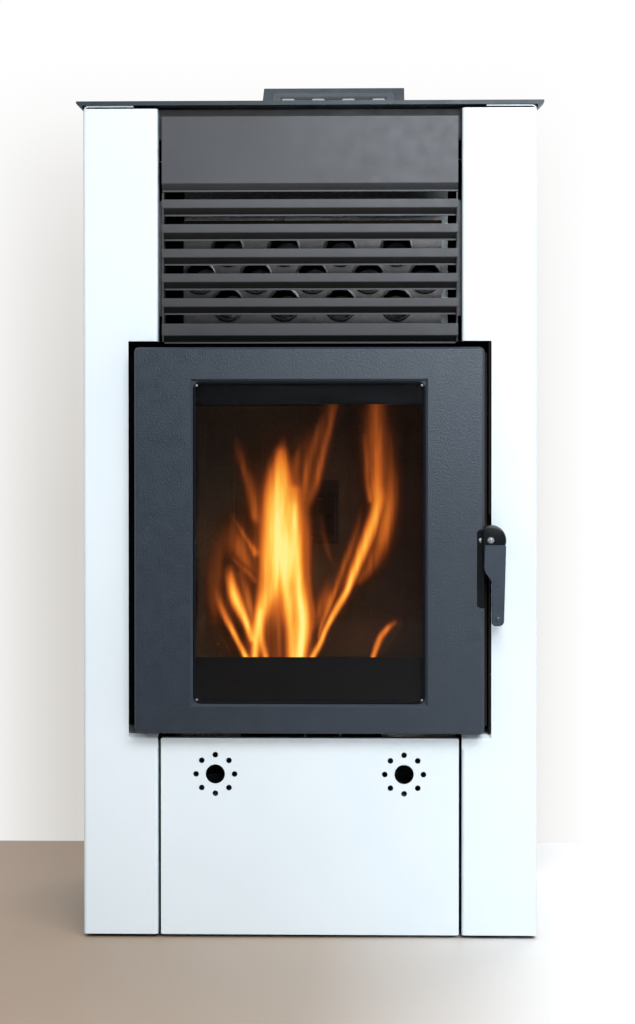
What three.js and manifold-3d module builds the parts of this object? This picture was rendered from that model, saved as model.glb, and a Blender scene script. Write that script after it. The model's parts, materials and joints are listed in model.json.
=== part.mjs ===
// Pellet stove with white side casings, a glazed fire door and a louvred warm-air outlet.
// Millimetres, +Z up. The front faces -Y and +X is on the right of someone who faces the stove.
// While it is drawn, y = 0 is the front face of the side casings and z = 0 is the floor.
import * as THREE from "three";
import { mergeVertices } from "three/addons/utils/BufferGeometryUtils.js";
import Module from "manifold-3d";

const wasm = await Module();
wasm.setup();

// ---------------------------------------------------------------- driving sizes

// Casing
const casingWidth = 540;
const casingDepth = 520;
const casingTop = 991;
const footHeight = 6;
const casingLift = 4;
const sheet = 1.5;
const bendRadius = 4;
const topBendRadius = 7;
const columnWidth = 89;
const columnReturn = 22;
const topFlangeWidth = 60;
const topFlangeGap = 2;
const rearReturn = 20;
const fitGap = 0.3;

// Top plate
const topPlateThickness = 5;
const topPlateSideOverhang = 8;
const topPlateFrontOverhang = 2.5;
const topPlateEdge = 2.4;
const topPlateNosing = 22;

// Door notch in the columns, measured outwards from their inner edges
const notchWidth = 35;
const notchBottom = 238;
const notchTop = 711.3;
const ledgeDepth = 108;
const ledgeBevel = 5.5;

// Door
const doorSideGap = 9;
const doorBorder = 69.5;
const doorHeight = 457;
const doorBottom = 246;
const doorProud = 22;
const doorThickness = 36;
const doorSkin = 6;
const doorRim = 7;
const doorChamfer = 2.5;
const doorCornerRadius = 6;
const windowHeight = 381.5;
const windowBottom = 281;
const windowCornerRadius = 8;
const windowLip = 14.5;
const windowRim = 8;
const glassThickness = 4;
const retainerThickness = 3;
const ropeWidth = 7;
const ropeHeight = 7;

// Door hinge
const hingeInset = 7;
const hingeSetback = 10;
const hingePinRadius = 3;
const hingeArmHalfWidth = 5;
const hingeArmHeight = 5;
const hingeBoss = 6.3;
const hingeClearance = 0.6;

// Handle
const handleOffset = 7;
const handlePivotZ = 475;
const hubRadius = 18.4;
const hubThickness = 11;
const hubShaftRadius = 5;
const hubStandoff = 1;
const hubFlat = 8.5;
const leverLength = 95;
const leverDrop = 5.5;
const leverUpperWidth = 26;
const leverLowerWidth = 14.5;
const leverLean = 2.5;
const leverThickness = 4.5;
const tongueReach = 15;
const tongueWidth = 6;
const tongueThickness = 5;
const keeperThickness = 3;
const bracketHeight = 92;
const bracketTopRise = 12;
const bracketWidth = 8.5;
const bracketEarBack = 8;

// Grille
const grilleSideGap = 4.5;
const grilleSetback = 6;
const grillePanelDrop = 11;
const grillePanelGap = 19;
const louvreCount = 5;
const louvrePitch = 29.4;
const louvreFirstTop = 880.3;
const louvreFace = 10;
const louvreFlange = 7.3;
const louvreLip = 1.9;
const louvreEndStep = 2.4;
const bottomBarTop = 732.5;
const bottomBarFace = 14.2;
const cheekDepth = 25;

// Heat exchanger
const exchangerSideGap = 22;
const exchangerFront = 110;
const exchangerDepth = 105;
const exchangerTop = 865.5;
const exchangerBottom = 716;
const exchangerWall = 3;
const tubeRadius = 20.7;
const tubeWall = 2.6;
const tubePitchZ = 33.6;
const tubeMiddleRowZ = 796.3;
const tubeProud = 5;

// Lower panel and ash drawer
const panelSideGap = 3.5;
const panelTop = 238.5;
const panelReturn = 18;
const rosetteSpacing = 225;
const rosetteZ = 195.5;
const rosetteHoleRadius = 11.5;
const rosetteDotRadius = 3.5;
const rosettePitchRadius = 23;
const rosetteDots = 8;
const drawerSideGap = 19.5;
const drawerDepth = 205;
const drawerBottom = 26;
const drawerTop = 200;
const drawerWall = 1.5;
const railHeight = 142;
const railWidth = 12;

// Firebox
const fireboxSideGap = 9;
const fireboxFront = 18;
const fireboxDepth = 214;
const fireboxBottom = 258;
const fireboxTop = 704;
const fireboxWall = 4;
const latchFlangeReach = 4.5;
const ashSlotHalfWidth = 120;
const backPlateThickness = 8;
const potWidth = 164;
const potDepth = 100;
const potHeight = 56;
const potWall = 4;
const potBottom = 268;
const potSeat = 40;
const potCentreY = 125;
const ashSlotDepth = 130;
const holderThickness = 4;

// Pellet feed
const hopperSideGap = 100;
const hopperFrontGap = 30;
const hopperRearGap = 15;
const hopperShoulder = 660;
const hopperNeck = 430;
const neckHalfWidth = 34;
const neckDepth = 62;
const neckOffset = 4;
const hopperWall = 2;
const augerRearGap = 90;
const augerLowZ = 330;
const augerFrontGap = 40;
const augerHighZ = 556;
const augerTubeRadius = 30;
const augerTubeWall = 2.5;
const augerScrewRadius = 25;
const augerShaftRadius = 8;
const augerPitch = 42;
const augerFlight = 4;
const chuteHalfWidth = 26;
const chuteHeight = 52;
const chuteWall = 2;
const gearboxWidth = 88;
const gearboxDepth = 64;
const gearboxLength = 38;
const gearMotorRadius = 30;
const gearMotorLength = 54;
const gearMotorOffset = 14;

// Hopper lid
const lidSideInset = 5;
const lidFrontInset = 23;
const lidRearInset = 18;
const lidHeight = 12;
const lidSheet = 2;
const lidHingeSetback = 10;
const lidHingeRise = 9;
const lidPinRadius = 2.5;

// Console
const consoleCentre = 26;
const consoleWidth = 174;
const consoleFront = 85;
const consoleLip = 4;
const consoleSlopeRun = 56;
const consoleSlopeRise = 32;
const consoleBackRun = 14;
const fasciaWidth = 150;
const fasciaTopMargin = 15;
const fasciaLength = 44;
const fasciaThickness = 1.5;
const keyCount = 4;
const keyPitch = 37;
const keyWidth = 15;
const keyLength = 10;
const keyProud = 1.8;
const keyFromTop = 40;
const keyTravel = 1;
const displayWidth = 130;
const displayLength = 8;
const displayFromTop = 29;

// Fans, flue and rear
const flueInset = 42;
const flueZ = 215;
const flueRadius = 40;
const flueProud = 40;
const exhaustZ = 115;
const exhaustGapToFirebox = 30;
const exhaustDepth = 60;
const exhaustRadiusShare = 5 / 18;
const exhaustInlet = 30;
const fanWall = 3;
const roomFanInset = 145;
const roomFanZ = 115;
const roomFanGapToFirebox = 68;
const roomFanDepth = 90;
const roomFanRadiusShare = 8 / 27;
const motorRadius = 32;
const motorLength = 60;
const intakeOffset = 3;
const intakeZ = 150;
const intakeRadius = 24;
const intakeProud = 20;
const inletInset = 65;
const inletZ = 120;

// ---------------------------------------------------------------- derived places

const halfWidth = casingWidth / 2;
const columnInner = halfWidth - columnWidth;
const notchHalfWidth = columnInner + notchWidth;
const grilleHalfWidth = columnInner - grilleSideGap;
const grillePanelTop = casingTop - grillePanelDrop;
const panelHalfWidth = columnInner - panelSideGap;
const drawerHalfWidth = panelHalfWidth - drawerSideGap;
const topPlateTop = casingTop + fitGap + topPlateThickness;
const doorHalfWidth = notchHalfWidth - doorSideGap;
const doorTop = doorBottom + doorHeight;
const doorRear = doorThickness - doorProud;
const windowTop = windowBottom + windowHeight;
const ledgeTop = notchBottom + ledgeBevel;
const windowHalfWidth = doorHalfWidth - doorBorder;
const handlePivotX = doorHalfWidth + handleOffset;
const hingeX = -doorHalfWidth + hingeInset;
const hingeY = -doorProud + hingeSetback;
const fireboxHalfWidth = columnInner - fireboxSideGap;
const fireboxFlangeHalf = doorHalfWidth - 2;
const fireboxRear = fireboxFront + fireboxDepth;
const ashSlotFront = potCentreY - ashSlotDepth / 2;
const ashSlotRear = potCentreY + ashSlotDepth / 2;
const exchangerHalfWidth = columnInner - exchangerSideGap;
const tubePitchX = (exchangerHalfWidth - tubeRadius + 0.2) / 2;
const hopperHalfWidth = halfWidth - hopperSideGap;
const hopperFront = fireboxRear + hopperFrontGap;
const hopperBack = casingDepth - hopperRearGap;
const augerLowY = casingDepth - augerRearGap;
const augerHighY = fireboxRear + augerFrontGap;
const neckFront = augerLowY + neckOffset - neckDepth / 2;
const neckBack = augerLowY + neckOffset + neckDepth / 2;
const lidHalfWidth = hopperHalfWidth - lidSideInset;
const lidFront = hopperFront + lidFrontInset;
const lidBack = hopperBack - lidRearInset;
const lidHingeY = lidBack + lidHingeSetback;
const flueX = fireboxHalfWidth - flueInset;
const exhaustFront = fireboxRear + exhaustGapToFirebox;
const exhaustRadius = halfWidth * exhaustRadiusShare;
const roomFanX = roomFanInset - halfWidth;
const roomFanFront = fireboxRear + roomFanGapToFirebox;
const roomFanRadius = halfWidth * roomFanRadiusShare;
const intakeX = (flueX - exhaustRadius + roomFanX + roomFanRadius) / 2 + intakeOffset;
const inletX = inletInset - halfWidth;
const baseTop = footHeight + 2;
const rearPanelY = casingDepth - sheet - fitGap;
const hubFront = -doorProud - hubStandoff - hubThickness;
const hubBack = hubFront + hubThickness;
const leverFront = hubFront - fitGap - leverThickness;
const rearMost = casingDepth + flueProud;

// ---------------------------------------------------------------- geometry helpers

function solidOf(geometry) {
  const bare = geometry.index ? geometry.toNonIndexed() : geometry.clone();
  for (const name of Object.keys(bare.attributes)) {
    if (name !== "position") bare.deleteAttribute(name);
  }
  const merged = mergeVertices(bare, 1e-4);
  return new wasm.Manifold(
    new wasm.Mesh({
      numProp: 3,
      vertProperties: merged.attributes.position.array,
      triVerts: new Uint32Array(merged.index.array),
    }),
  );
}

function geometryOf(solid) {
  const mesh = solid.getMesh();
  const geometry = new THREE.BufferGeometry();
  geometry.setAttribute("position", new THREE.BufferAttribute(mesh.vertProperties, 3));
  geometry.setIndex(new THREE.BufferAttribute(mesh.triVerts, 1));
  return geometry;
}

function fuse(...geometries) {
  return geometryOf(geometries.map(solidOf).reduce((sum, next) => sum.add(next)));
}

function cut(base, ...tools) {
  return geometryOf(tools.map(solidOf).reduce((left, tool) => left.subtract(tool), solidOf(base)));
}

function common(one, other) {
  return geometryOf(solidOf(one).intersect(solidOf(other)));
}

function box(x0, x1, y0, y1, z0, z1) {
  const geometry = new THREE.BoxGeometry(x1 - x0, y1 - y0, z1 - z0);
  return geometry.translate((x0 + x1) / 2, (y0 + y1) / 2, (z0 + z1) / 2);
}

// A closed outline through corners [x, y, radius]; a corner with a radius is rounded by an arc.
function outline(corners) {
  const shape = new THREE.Shape();
  corners.forEach(([x, y, radius = 0], i) => {
    const draw = i === 0 ? "moveTo" : "lineTo";
    if (!radius) {
      shape[draw](x, y);
      return;
    }
    const here = new THREE.Vector2(x, y);
    const [beforeX, beforeY] = corners.at(i - 1);
    const [afterX, afterY] = corners[(i + 1) % corners.length];
    const toBefore = new THREE.Vector2(beforeX, beforeY).sub(here).normalize();
    const toAfter = new THREE.Vector2(afterX, afterY).sub(here).normalize();
    const halfAngle = Math.acos(THREE.MathUtils.clamp(toBefore.dot(toAfter), -1, 1)) / 2;
    const start = toBefore.clone().multiplyScalar(radius / Math.tan(halfAngle)).add(here);
    const end = toAfter.clone().multiplyScalar(radius / Math.tan(halfAngle)).add(here);
    const middle = toBefore.clone().add(toAfter).normalize();
    const centre = middle.multiplyScalar(radius / Math.sin(halfAngle)).add(here);
    const startAngle = start.clone().sub(centre).angle();
    const endAngle = end.clone().sub(centre).angle();
    shape[draw](start.x, start.y);
    shape.absarc(centre.x, centre.y, radius, startAngle, endAngle, toBefore.cross(toAfter) > 0);
  });
  return shape;
}

// The outline of bent sheet metal: the path is one face, and the metal lies on its left.
function sheetOutline(path, thickness = sheet, radius = bendRadius) {
  const points = path.map(([x, y]) => new THREE.Vector2(x, y));
  const directions = points.slice(1).map((point, i) => point.clone().sub(points[i]).normalize());
  const face = [];
  const back = [];
  points.forEach((point, i) => {
    const arriving = directions[Math.max(i - 1, 0)];
    const leaving = directions[Math.min(i, directions.length - 1)];
    const turn = arriving.cross(leaving);
    const normal = new THREE.Vector2(-arriving.y - leaving.y, arriving.x + leaving.x).normalize();
    const reach = thickness / (normal.x * -arriving.y + normal.y * arriving.x);
    const bent = i > 0 && i < points.length - 1 && Math.abs(turn) > 1e-6;
    const outer = bent ? radius : 0;
    const inner = bent ? Math.max(radius - thickness, 0.3) : 0;
    face.push([point.x, point.y, turn > 0 ? outer : inner]);
    back.unshift([point.x + normal.x * reach, point.y + normal.y * reach, turn > 0 ? inner : outer]);
  });
  return outline([...face, ...back]);
}

function rectangle(x0, x1, y0, y1, radius = 0) {
  return outline([
    [x0, y0, radius],
    [x1, y0, radius],
    [x1, y1, radius],
    [x0, y1, radius],
  ]);
}

function circle(x, y, radius) {
  return new THREE.Path().absarc(x, y, radius, 0, Math.PI * 2);
}

const frames = {
  x: [new THREE.Vector3(0, 1, 0), new THREE.Vector3(0, 0, 1), new THREE.Vector3(1, 0, 0)],
  y: [new THREE.Vector3(1, 0, 0), new THREE.Vector3(0, 0, 1), new THREE.Vector3(0, -1, 0)],
  z: [new THREE.Vector3(1, 0, 0), new THREE.Vector3(0, 1, 0), new THREE.Vector3(0, 0, 1)],
};

// Extrudes an outline along an axis between two places. The outline lies in (Y, Z) for the X axis,
// in (X, Z) for the Y axis and in (X, Y) for the Z axis.
function extrude(axis, shape, from, to, facets = 2) {
  const options = { depth: to - from, bevelEnabled: false, curveSegments: facets };
  const geometry = new THREE.ExtrudeGeometry(shape, options);
  const basis = new THREE.Matrix4().makeBasis(...frames[axis]);
  const offset = frames[axis][2].clone().multiplyScalar(axis === "y" ? -to : from);
  return geometry.applyMatrix4(basis).translate(offset.x, offset.y, offset.z);
}

// A round bar along an axis between two places; a and b are its centre on the other two axes.
function rod(axis, a, b, radius, from, to, facets = 16) {
  const geometry = new THREE.CylinderGeometry(radius, radius, to - from, facets);
  const middle = (from + to) / 2;
  if (axis === "x") return geometry.rotateZ(-Math.PI / 2).translate(middle, a, b);
  if (axis === "y") return geometry.translate(a, middle, b);
  return geometry.rotateX(Math.PI / 2).translate(a, b, middle);
}

// Turns a profile [radius, height] about an axis through a and b, with heights along that axis.
function turned(axis, a, b, profile, facets = 20) {
  const points = profile.map(([radius, height]) => new THREE.Vector2(radius, height));
  const geometry = new THREE.LatheGeometry(points, facets);
  if (axis === "x") return geometry.rotateZ(-Math.PI / 2).translate(0, a, b);
  if (axis === "y") return geometry.translate(a, 0, b);
  return geometry.rotateX(Math.PI / 2).translate(a, b, 0);
}

// The mirror image in the plane x = 0, with its faces turned round again.
function mirrored(geometry) {
  const copy = geometry.index ? geometry.toNonIndexed() : geometry.clone();
  const position = copy.attributes.position;
  const image = new Float32Array(position.count * 3);
  for (let i = 0; i < position.count; i += 1) {
    const from = i - (i % 3) + [0, 2, 1][i % 3];
    image[3 * i] = -position.getX(from);
    image[3 * i + 1] = position.getY(from);
    image[3 * i + 2] = position.getZ(from);
  }
  return new THREE.BufferGeometry().setAttribute("position", new THREE.BufferAttribute(image, 3));
}

// A closed skin over rectangles [x0, x1, y0, y1, z], stacked from the bottom up.
function stacked(sections) {
  const positions = [];
  const corners = sections.map(([x0, x1, y0, y1, z]) => [
    [x0, y0, z],
    [x1, y0, z],
    [x1, y1, z],
    [x0, y1, z],
  ]);
  const quad = (a, b, c, d) => positions.push(...a, ...b, ...c, ...a, ...c, ...d);
  const [bottom, top] = [corners[0], corners.at(-1)];
  quad(bottom[3], bottom[2], bottom[1], bottom[0]);
  quad(...top);
  for (let level = 1; level < corners.length; level += 1) {
    for (let i = 0; i < 4; i += 1) {
      const next = (i + 1) % 4;
      const [low, high] = [corners[level - 1], corners[level]];
      quad(low[i], low[next], high[next], high[i]);
    }
  }
  const array = new Float32Array(positions);
  return new THREE.BufferGeometry().setAttribute("position", new THREE.BufferAttribute(array, 3));
}

// ---------------------------------------------------------------- materials and scene graph

const finishes = {
  whitePaint: { color: 0xeef3f7, roughness: 0.35, metalness: 0 },
  darkPlate: { color: 0x4b565c, roughness: 0.45, metalness: 0.3 },
  doorPaint: { color: 0x434d58, roughness: 0.5, metalness: 0.2 },
  grillePaint: { color: 0x64666b, roughness: 0.5, metalness: 0.3 },
  blackPaint: { color: 0x17181b, roughness: 0.6, metalness: 0.1 },
  blackGloss: { color: 0x0c0d10, roughness: 0.12, metalness: 0 },
  leverPaint: { color: 0x46505e, roughness: 0.4, metalness: 0.3 },
  steel: { color: 0x8f9196, roughness: 0.4, metalness: 1 },
  zinc: { color: 0xb4b8bc, roughness: 0.35, metalness: 1 },
  castIron: { color: 0x2b2a2a, roughness: 0.75, metalness: 0.4 },
  vermiculite: { color: 0x8a7a64, roughness: 0.95, metalness: 0 },
  rope: { color: 0x3b3a38, roughness: 0.95, metalness: 0 },
  glass: { color: 0x20242a, roughness: 0.05, metalness: 0, transparent: true, opacity: 0.35 },
  slate: { color: 0x596773, roughness: 0.45, metalness: 0 },
  fascia: { color: 0x6e7c8a, roughness: 0.3, metalness: 0 },
  keyGrey: { color: 0xc9d2da, roughness: 0.3, metalness: 0 },
};

const stove = new THREE.Group();
stove.position.y = -(leverFront + rearMost) / 2;

function add(name, finish, geometry, parent = stove) {
  const mesh = new THREE.Mesh(geometry, new THREE.MeshStandardMaterial(finishes[finish]));
  mesh.name = name;
  parent.add(mesh);
  return mesh;
}

// ---------------------------------------------------------------- casing

// The right-hand side casing, one bent sheet with a front column, a side wall and a top flange,
// and the cutter for the latch's relief, which only the latch side has.
function sideCasing() {
  const columnTop = casingTop - sheet - topFlangeGap;
  const plan = sheetOutline([
    [columnInner, columnReturn],
    [columnInner, 0],
    [halfWidth, 0],
    [halfWidth, casingDepth],
    [halfWidth - rearReturn, casingDepth],
  ]);
  const column = extrude("z", plan, casingLift, columnTop, 3);
  const wallAndTop = sheetOutline(
    [
      [halfWidth, columnTop - bendRadius - topBendRadius],
      [halfWidth, casingTop],
      [halfWidth - topFlangeWidth, casingTop],
    ],
    sheet,
    topBendRadius,
  );
  const footprint = outline([
    [columnInner, 0],
    [halfWidth, 0, bendRadius],
    [halfWidth, casingDepth, bendRadius],
    [columnInner, casingDepth],
  ]);
  const shoulder = common(
    extrude("y", wallAndTop, 0, casingDepth, 3),
    extrude("z", footprint, casingLift, casingTop + 1, 3),
  );
  const notch = box(
    columnInner - 1,
    notchHalfWidth,
    -1,
    columnReturn + 1,
    notchBottom - bendRadius,
    notchTop,
  );
  // The notch's lower edge is folded back over a bevel into a deep ledge.
  const ledgeProfile = sheetOutline([
    [ledgeDepth, ledgeTop],
    [ledgeBevel, ledgeTop],
    [0, notchBottom],
    [0, notchBottom - 3 * bendRadius],
  ]);
  const ledge = extrude("x", ledgeProfile, columnInner, notchHalfWidth);
  const ledgeBehind = box(
    notchHalfWidth - 1,
    halfWidth - 2 * sheet,
    ledgeBevel,
    ledgeDepth,
    ledgeTop - sheet,
    ledgeTop,
  );
  // Relief for the latch tongue, hidden behind the handle's hub.
  const relief = box(
    notchHalfWidth - 1,
    handlePivotX + hubShaftRadius + 1.5,
    -1,
    sheet + 1,
    handlePivotZ - hubShaftRadius - 5,
    handlePivotZ + tongueReach + 1,
  );
  return [fuse(cut(fuse(column, shoulder), notch), ledge, ledgeBehind), relief];
}

const [plainCasing, latchRelief] = sideCasing();
add("right_side_casing", "whitePaint", cut(plainCasing, latchRelief));
add("left_side_casing", "whitePaint", mirrored(plainCasing));

// Top plate: a thick plate with an overhanging nosing at the front, whose ends taper in below.
const plateHalf = halfWidth + topPlateSideOverhang;
const plateUnder = topPlateTop - topPlateThickness;
const taperBottom = topPlateTop - topPlateEdge - (topPlateSideOverhang - fitGap);
const plateProfile = outline([
  [-halfWidth - fitGap, plateUnder],
  [-halfWidth - fitGap, taperBottom],
  [-plateHalf, topPlateTop - topPlateEdge],
  [-plateHalf, topPlateTop, 0.8],
  [plateHalf, topPlateTop, 0.8],
  [plateHalf, topPlateTop - topPlateEdge],
  [halfWidth + fitGap, taperBottom],
  [halfWidth + fitGap, plateUnder],
].reverse());
const plateSide = halfWidth + fitGap;
const nosingEnd = topPlateNosing + topPlateSideOverhang;
const nosingPlan = outline([
  [-plateHalf - 1, -topPlateFrontOverhang - 1],
  [plateHalf + 1, -topPlateFrontOverhang - 1],
  [plateHalf + 1, topPlateNosing - 1],
  [plateHalf - nosingEnd, 2 * nosingEnd - topPlateSideOverhang],
  [nosingEnd - plateHalf, 2 * nosingEnd - topPlateSideOverhang],
  [-plateHalf - 1, topPlateNosing - 1],
]);
const nosing = common(
  extrude("y", plateProfile, -topPlateFrontOverhang, nosingEnd + 5),
  extrude("z", nosingPlan, taperBottom - 1, topPlateTop + 1),
);
const flatPlate = box(-plateSide, plateSide, nosingEnd, casingDepth, plateUnder, topPlateTop);
const hopperMouth = box(
  -hopperHalfWidth + hopperWall + 20,
  hopperHalfWidth - hopperWall - 20,
  lidFront + 20,
  lidBack - 20,
  plateUnder - 1,
  topPlateTop + 1,
);
const cableHole = rod("z", consoleCentre, consoleFront + 35, 14, plateUnder - 1, topPlateTop + 1, 20);
add("top_plate", "darkPlate", cut(fuse(nosing, flatPlate), hopperMouth, cableHole));

// Base tray with turned-up sides.
const trayHalf = halfWidth - sheet - fitGap;
const trayProfile = sheetOutline(
  [
    [trayHalf, baseTop + 22],
    [trayHalf, footHeight],
    [-trayHalf, footHeight],
    [-trayHalf, baseTop + 22],
  ].reverse(),
  2,
  bendRadius,
);
const footInset = 45;
const footPlaces = [
  ["front_left", -1, footInset + 15],
  ["front_right", 1, footInset + 15],
  ["rear_left", -1, casingDepth - footInset],
  ["rear_right", 1, casingDepth - footInset],
];
const footStud = 5;
const footHoles = footPlaces.map(([, side, y]) =>
  rod("z", side * (halfWidth - footInset), y, footStud + 0.5, footHeight - 1, baseTop + 1, 12),
);
add("base_tray", "blackPaint", cut(extrude("y", trayProfile, 26, rearPanelY - 2), ...footHoles));

for (const [place, side, y] of footPlaces) {
  const foot = turned(
    "z",
    side * (halfWidth - footInset),
    y,
    [
      [0, 0],
      [18, 0],
      [18, footHeight - fitGap],
      [footStud, footHeight - fitGap],
      [footStud, baseTop + 20],
      [0, baseTop + 20],
    ],
    12,
  );
  add("foot_" + place, "zinc", foot);
}

// Rear panels: a lower one with the flue, air, mains and fan openings, and a plain one above it.
const rearSplit = flueZ + flueRadius + 20;
const rearHalf = halfWidth - topBendRadius;
const rearTop = casingTop - sheet - fitGap;
const rearSheet = (half, bottom, top) => box(-half, half, rearPanelY - sheet, rearPanelY, bottom, top);
const rearOpening = (x, z, halfX, halfZ) =>
  box(x - halfX, x + halfX, rearPanelY - sheet - 1, rearPanelY + 1, z - halfZ, z + halfZ);
const flueRoom = flueRadius + 5;
const intakeRoom = intakeRadius + 4;
const rearOpenings = [
  rearOpening(flueX, flueZ, flueRoom, flueRoom),
  rearOpening(intakeX, intakeZ, intakeRoom, intakeRoom),
  rearOpening(inletX, inletZ, 15, 30),
];
const slotCount = 8;
for (let i = 0; i < slotCount; i += 1) {
  rearOpenings.push(rearOpening(roomFanX + 7.5, roomFanZ + 14 * (i - 3), 47.5, 3));
}
const lowerRear = rearSheet(rearHalf, casingLift + 6, rearSplit - fitGap);
add("rear_lower_panel", "blackPaint", cut(lowerRear, ...rearOpenings));
// The upper panel's middle stands up between the casings' flanges and meets the top plate.
const rearMiddle = halfWidth - topFlangeWidth - 1;
const upperRear = rearSheet(rearHalf, rearSplit, rearTop);
add("rear_panel", "blackPaint", fuse(upperRear, rearSheet(rearMiddle, rearTop - 1, plateUnder - fitGap)));

// Cross member that ties the columns together under the top plate.
const crossY = columnReturn + fitGap;
const crossHalf = halfWidth - topBendRadius - 1;
const crossBottom = casingTop - 40;
const crossProfile = sheetOutline([
  [crossY, casingTop - sheet - fitGap],
  [crossY, crossBottom],
  [crossY + 18, crossBottom],
]);
add("front_cross_member", "blackPaint", extrude("x", crossProfile, -crossHalf, crossHalf));

// Black surround inside the door notch: side liners, a cover above and a bulkhead round the firebox.
const linerRight = handlePivotX - 1;
const linerLeft = -notchHalfWidth - 15;
const surroundBottom = ledgeTop + fitGap;
const surroundTop = notchTop + 1;
const surround = cut(
  fuse(
    box(linerRight, linerRight + sheet, 2, ledgeDepth + 4, surroundBottom, surroundTop + sheet),
    box(linerLeft - sheet, linerLeft, 2, ledgeDepth + 4, surroundBottom, surroundTop + sheet),
    box(linerLeft, linerRight, cheekDepth + 11, ledgeDepth + 4, surroundTop, surroundTop + sheet),
    box(linerLeft, linerRight, ledgeDepth + 2, ledgeDepth + 4, surroundBottom, surroundTop),
  ),
  box(
    -fireboxHalfWidth - fitGap,
    fireboxHalfWidth + fitGap,
    ledgeDepth,
    ledgeDepth + 6,
    surroundBottom - 1,
    fireboxTop + fitGap,
  ),
  box(linerRight - 1, linerRight + 3, 0, 22, handlePivotZ - 25, handlePivotZ + 30),
);
add("door_surround", "blackPaint", surround);

// ---------------------------------------------------------------- warm-air grille

// A sheet with a vertical face, a flange folded back and down, and a short lip.
function louvreProfile(top, face, lipHeight = louvreLip) {
  const faceY = grilleSetback;
  return sheetOutline(
    [
      [faceY + louvreFlange, top - face - louvreFlange - lipHeight],
      [faceY + louvreFlange, top - face - louvreFlange],
      [faceY, top - face],
      [faceY, top],
    ].reverse(),
    sheet,
    sheet + 0.3,
  );
}

const cheekOuter = grilleHalfWidth - 0.5;
const cheekInner = cheekOuter - sheet;

function louvre(top, face) {
  const ends = [-1, 1].map((side) => {
    const edge = side * grilleHalfWidth;
    const step = side * (grilleHalfWidth - louvreEndStep);
    const [low, high] = [Math.min(edge, step), Math.max(edge, step)];
    const below = top - face - sheet;
    return box(low - 0.01, high + 0.01, grilleSetback - 1, grilleSetback + 20, below - 25, below);
  });
  const blade = extrude("x", louvreProfile(top, face), -grilleHalfWidth, grilleHalfWidth, 1);
  return cut(blade, ...ends);
}

const louvres = [];
for (let i = 0; i < louvreCount; i += 1) {
  louvres.push(louvre(louvreFirstTop - i * louvrePitch, louvreFace));
}
const panelFaceBottom = louvreFirstTop + grillePanelGap;
const panelFoldBottom = panelFaceBottom - louvreFlange - louvreLip;
const cheeks = [-1, 1].map((side) => {
  const [low, high] = side > 0 ? [cheekInner, cheekOuter] : [-cheekOuter, -cheekInner];
  const lowerCheek = box(
    low,
    high,
    grilleSetback + 0.5,
    grilleSetback + cheekDepth,
    bottomBarTop - bottomBarFace - louvreFlange,
    panelFoldBottom - 2,
  );
  const upperCheek = box(
    low,
    high,
    grilleSetback + sheet + louvreFlange + 1,
    grilleSetback + cheekDepth,
    bottomBarTop,
    crossBottom - 2,
  );
  // A tab that lies behind the column's return and carries the grille.
  const [tabLow, tabHigh] = side > 0 ? [low, columnInner + 16] : [-columnInner - 16, high];
  const tab = box(tabLow, tabHigh, crossY, crossY + sheet, bottomBarTop + 10, louvreFirstTop);
  return fuse(lowerCheek, upperCheek, tab);
});
add("grille_louvres", "grillePaint", fuse(...louvres, louvre(bottomBarTop, bottomBarFace), ...cheeks));

const grillePanelProfile = sheetOutline(
  [
    [grilleSetback + louvreFlange, panelFoldBottom],
    [grilleSetback + louvreFlange, panelFaceBottom - louvreFlange],
    [grilleSetback, panelFaceBottom],
    [grilleSetback, grillePanelTop],
    [columnReturn, grillePanelTop],
  ].reverse(),
  sheet,
  sheet + 0.3,
);
add("grille_panel", "grillePaint", extrude("x", grillePanelProfile, -grilleHalfWidth, grilleHalfWidth, 2));

// ---------------------------------------------------------------- heat exchanger

// Rows of tubes welded into a front and a rear plate; the gases pass round them in the closed box.
const gasPort = [-110, 110, 120, 200];
const tubeRows = [
  [tubeMiddleRowZ + tubePitchZ, 4],
  [tubeMiddleRowZ, 5],
  [tubeMiddleRowZ - tubePitchZ, 4],
];
const exchangerRear = exchangerFront + exchangerDepth;
const tubes = [];
const bores = [];
for (const [z, count] of tubeRows) {
  for (let i = 0; i < count; i += 1) {
    const x = (i - (count - 1) / 2) * tubePitchX;
    tubes.push(rod("y", x, z, tubeRadius, exchangerFront - tubeProud, exchangerRear, 16));
    bores.push(rod("y", x, z, tubeRadius - tubeWall, exchangerFront - tubeProud - 1, exchangerRear + 1, 12));
  }
}
const exchangerBox = cut(
  box(-exchangerHalfWidth, exchangerHalfWidth, exchangerFront, exchangerRear, exchangerBottom, exchangerTop),
  box(
    -exchangerHalfWidth + exchangerWall,
    exchangerHalfWidth - exchangerWall,
    exchangerFront + exchangerWall,
    exchangerRear - exchangerWall,
    exchangerBottom + exchangerWall,
    exchangerTop - exchangerWall,
  ),
  box(...gasPort, exchangerBottom - 1, exchangerBottom + exchangerWall + 1),
);
add("heat_exchanger", "steel", cut(fuse(exchangerBox, ...tubes), ...bores));

// ---------------------------------------------------------------- firebox

const augerDirection = new THREE.Vector2(augerHighY - augerLowY, augerHighZ - augerLowZ).normalize();
const chuteMouthZ = 470;
const chuteTopZ = augerHighZ + 4;
const flangeBottom = fireboxBottom - 6;
const flangeTop = fireboxTop - 6;
const openingMargin = 10.5;
const fireOpening = rectangle(
  -windowHalfWidth - openingMargin,
  windowHalfWidth + openingMargin,
  windowBottom - openingMargin,
  windowTop + openingMargin,
  windowCornerRadius,
);
const exhaustPortZ = fireboxBottom + 30;
const intakeRiseZ = fireboxBottom + 24;
const grow = ([x0, x1, y0, y1], by) => [x0 - by, x1 + by, y0 - by, y1 + by];
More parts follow.
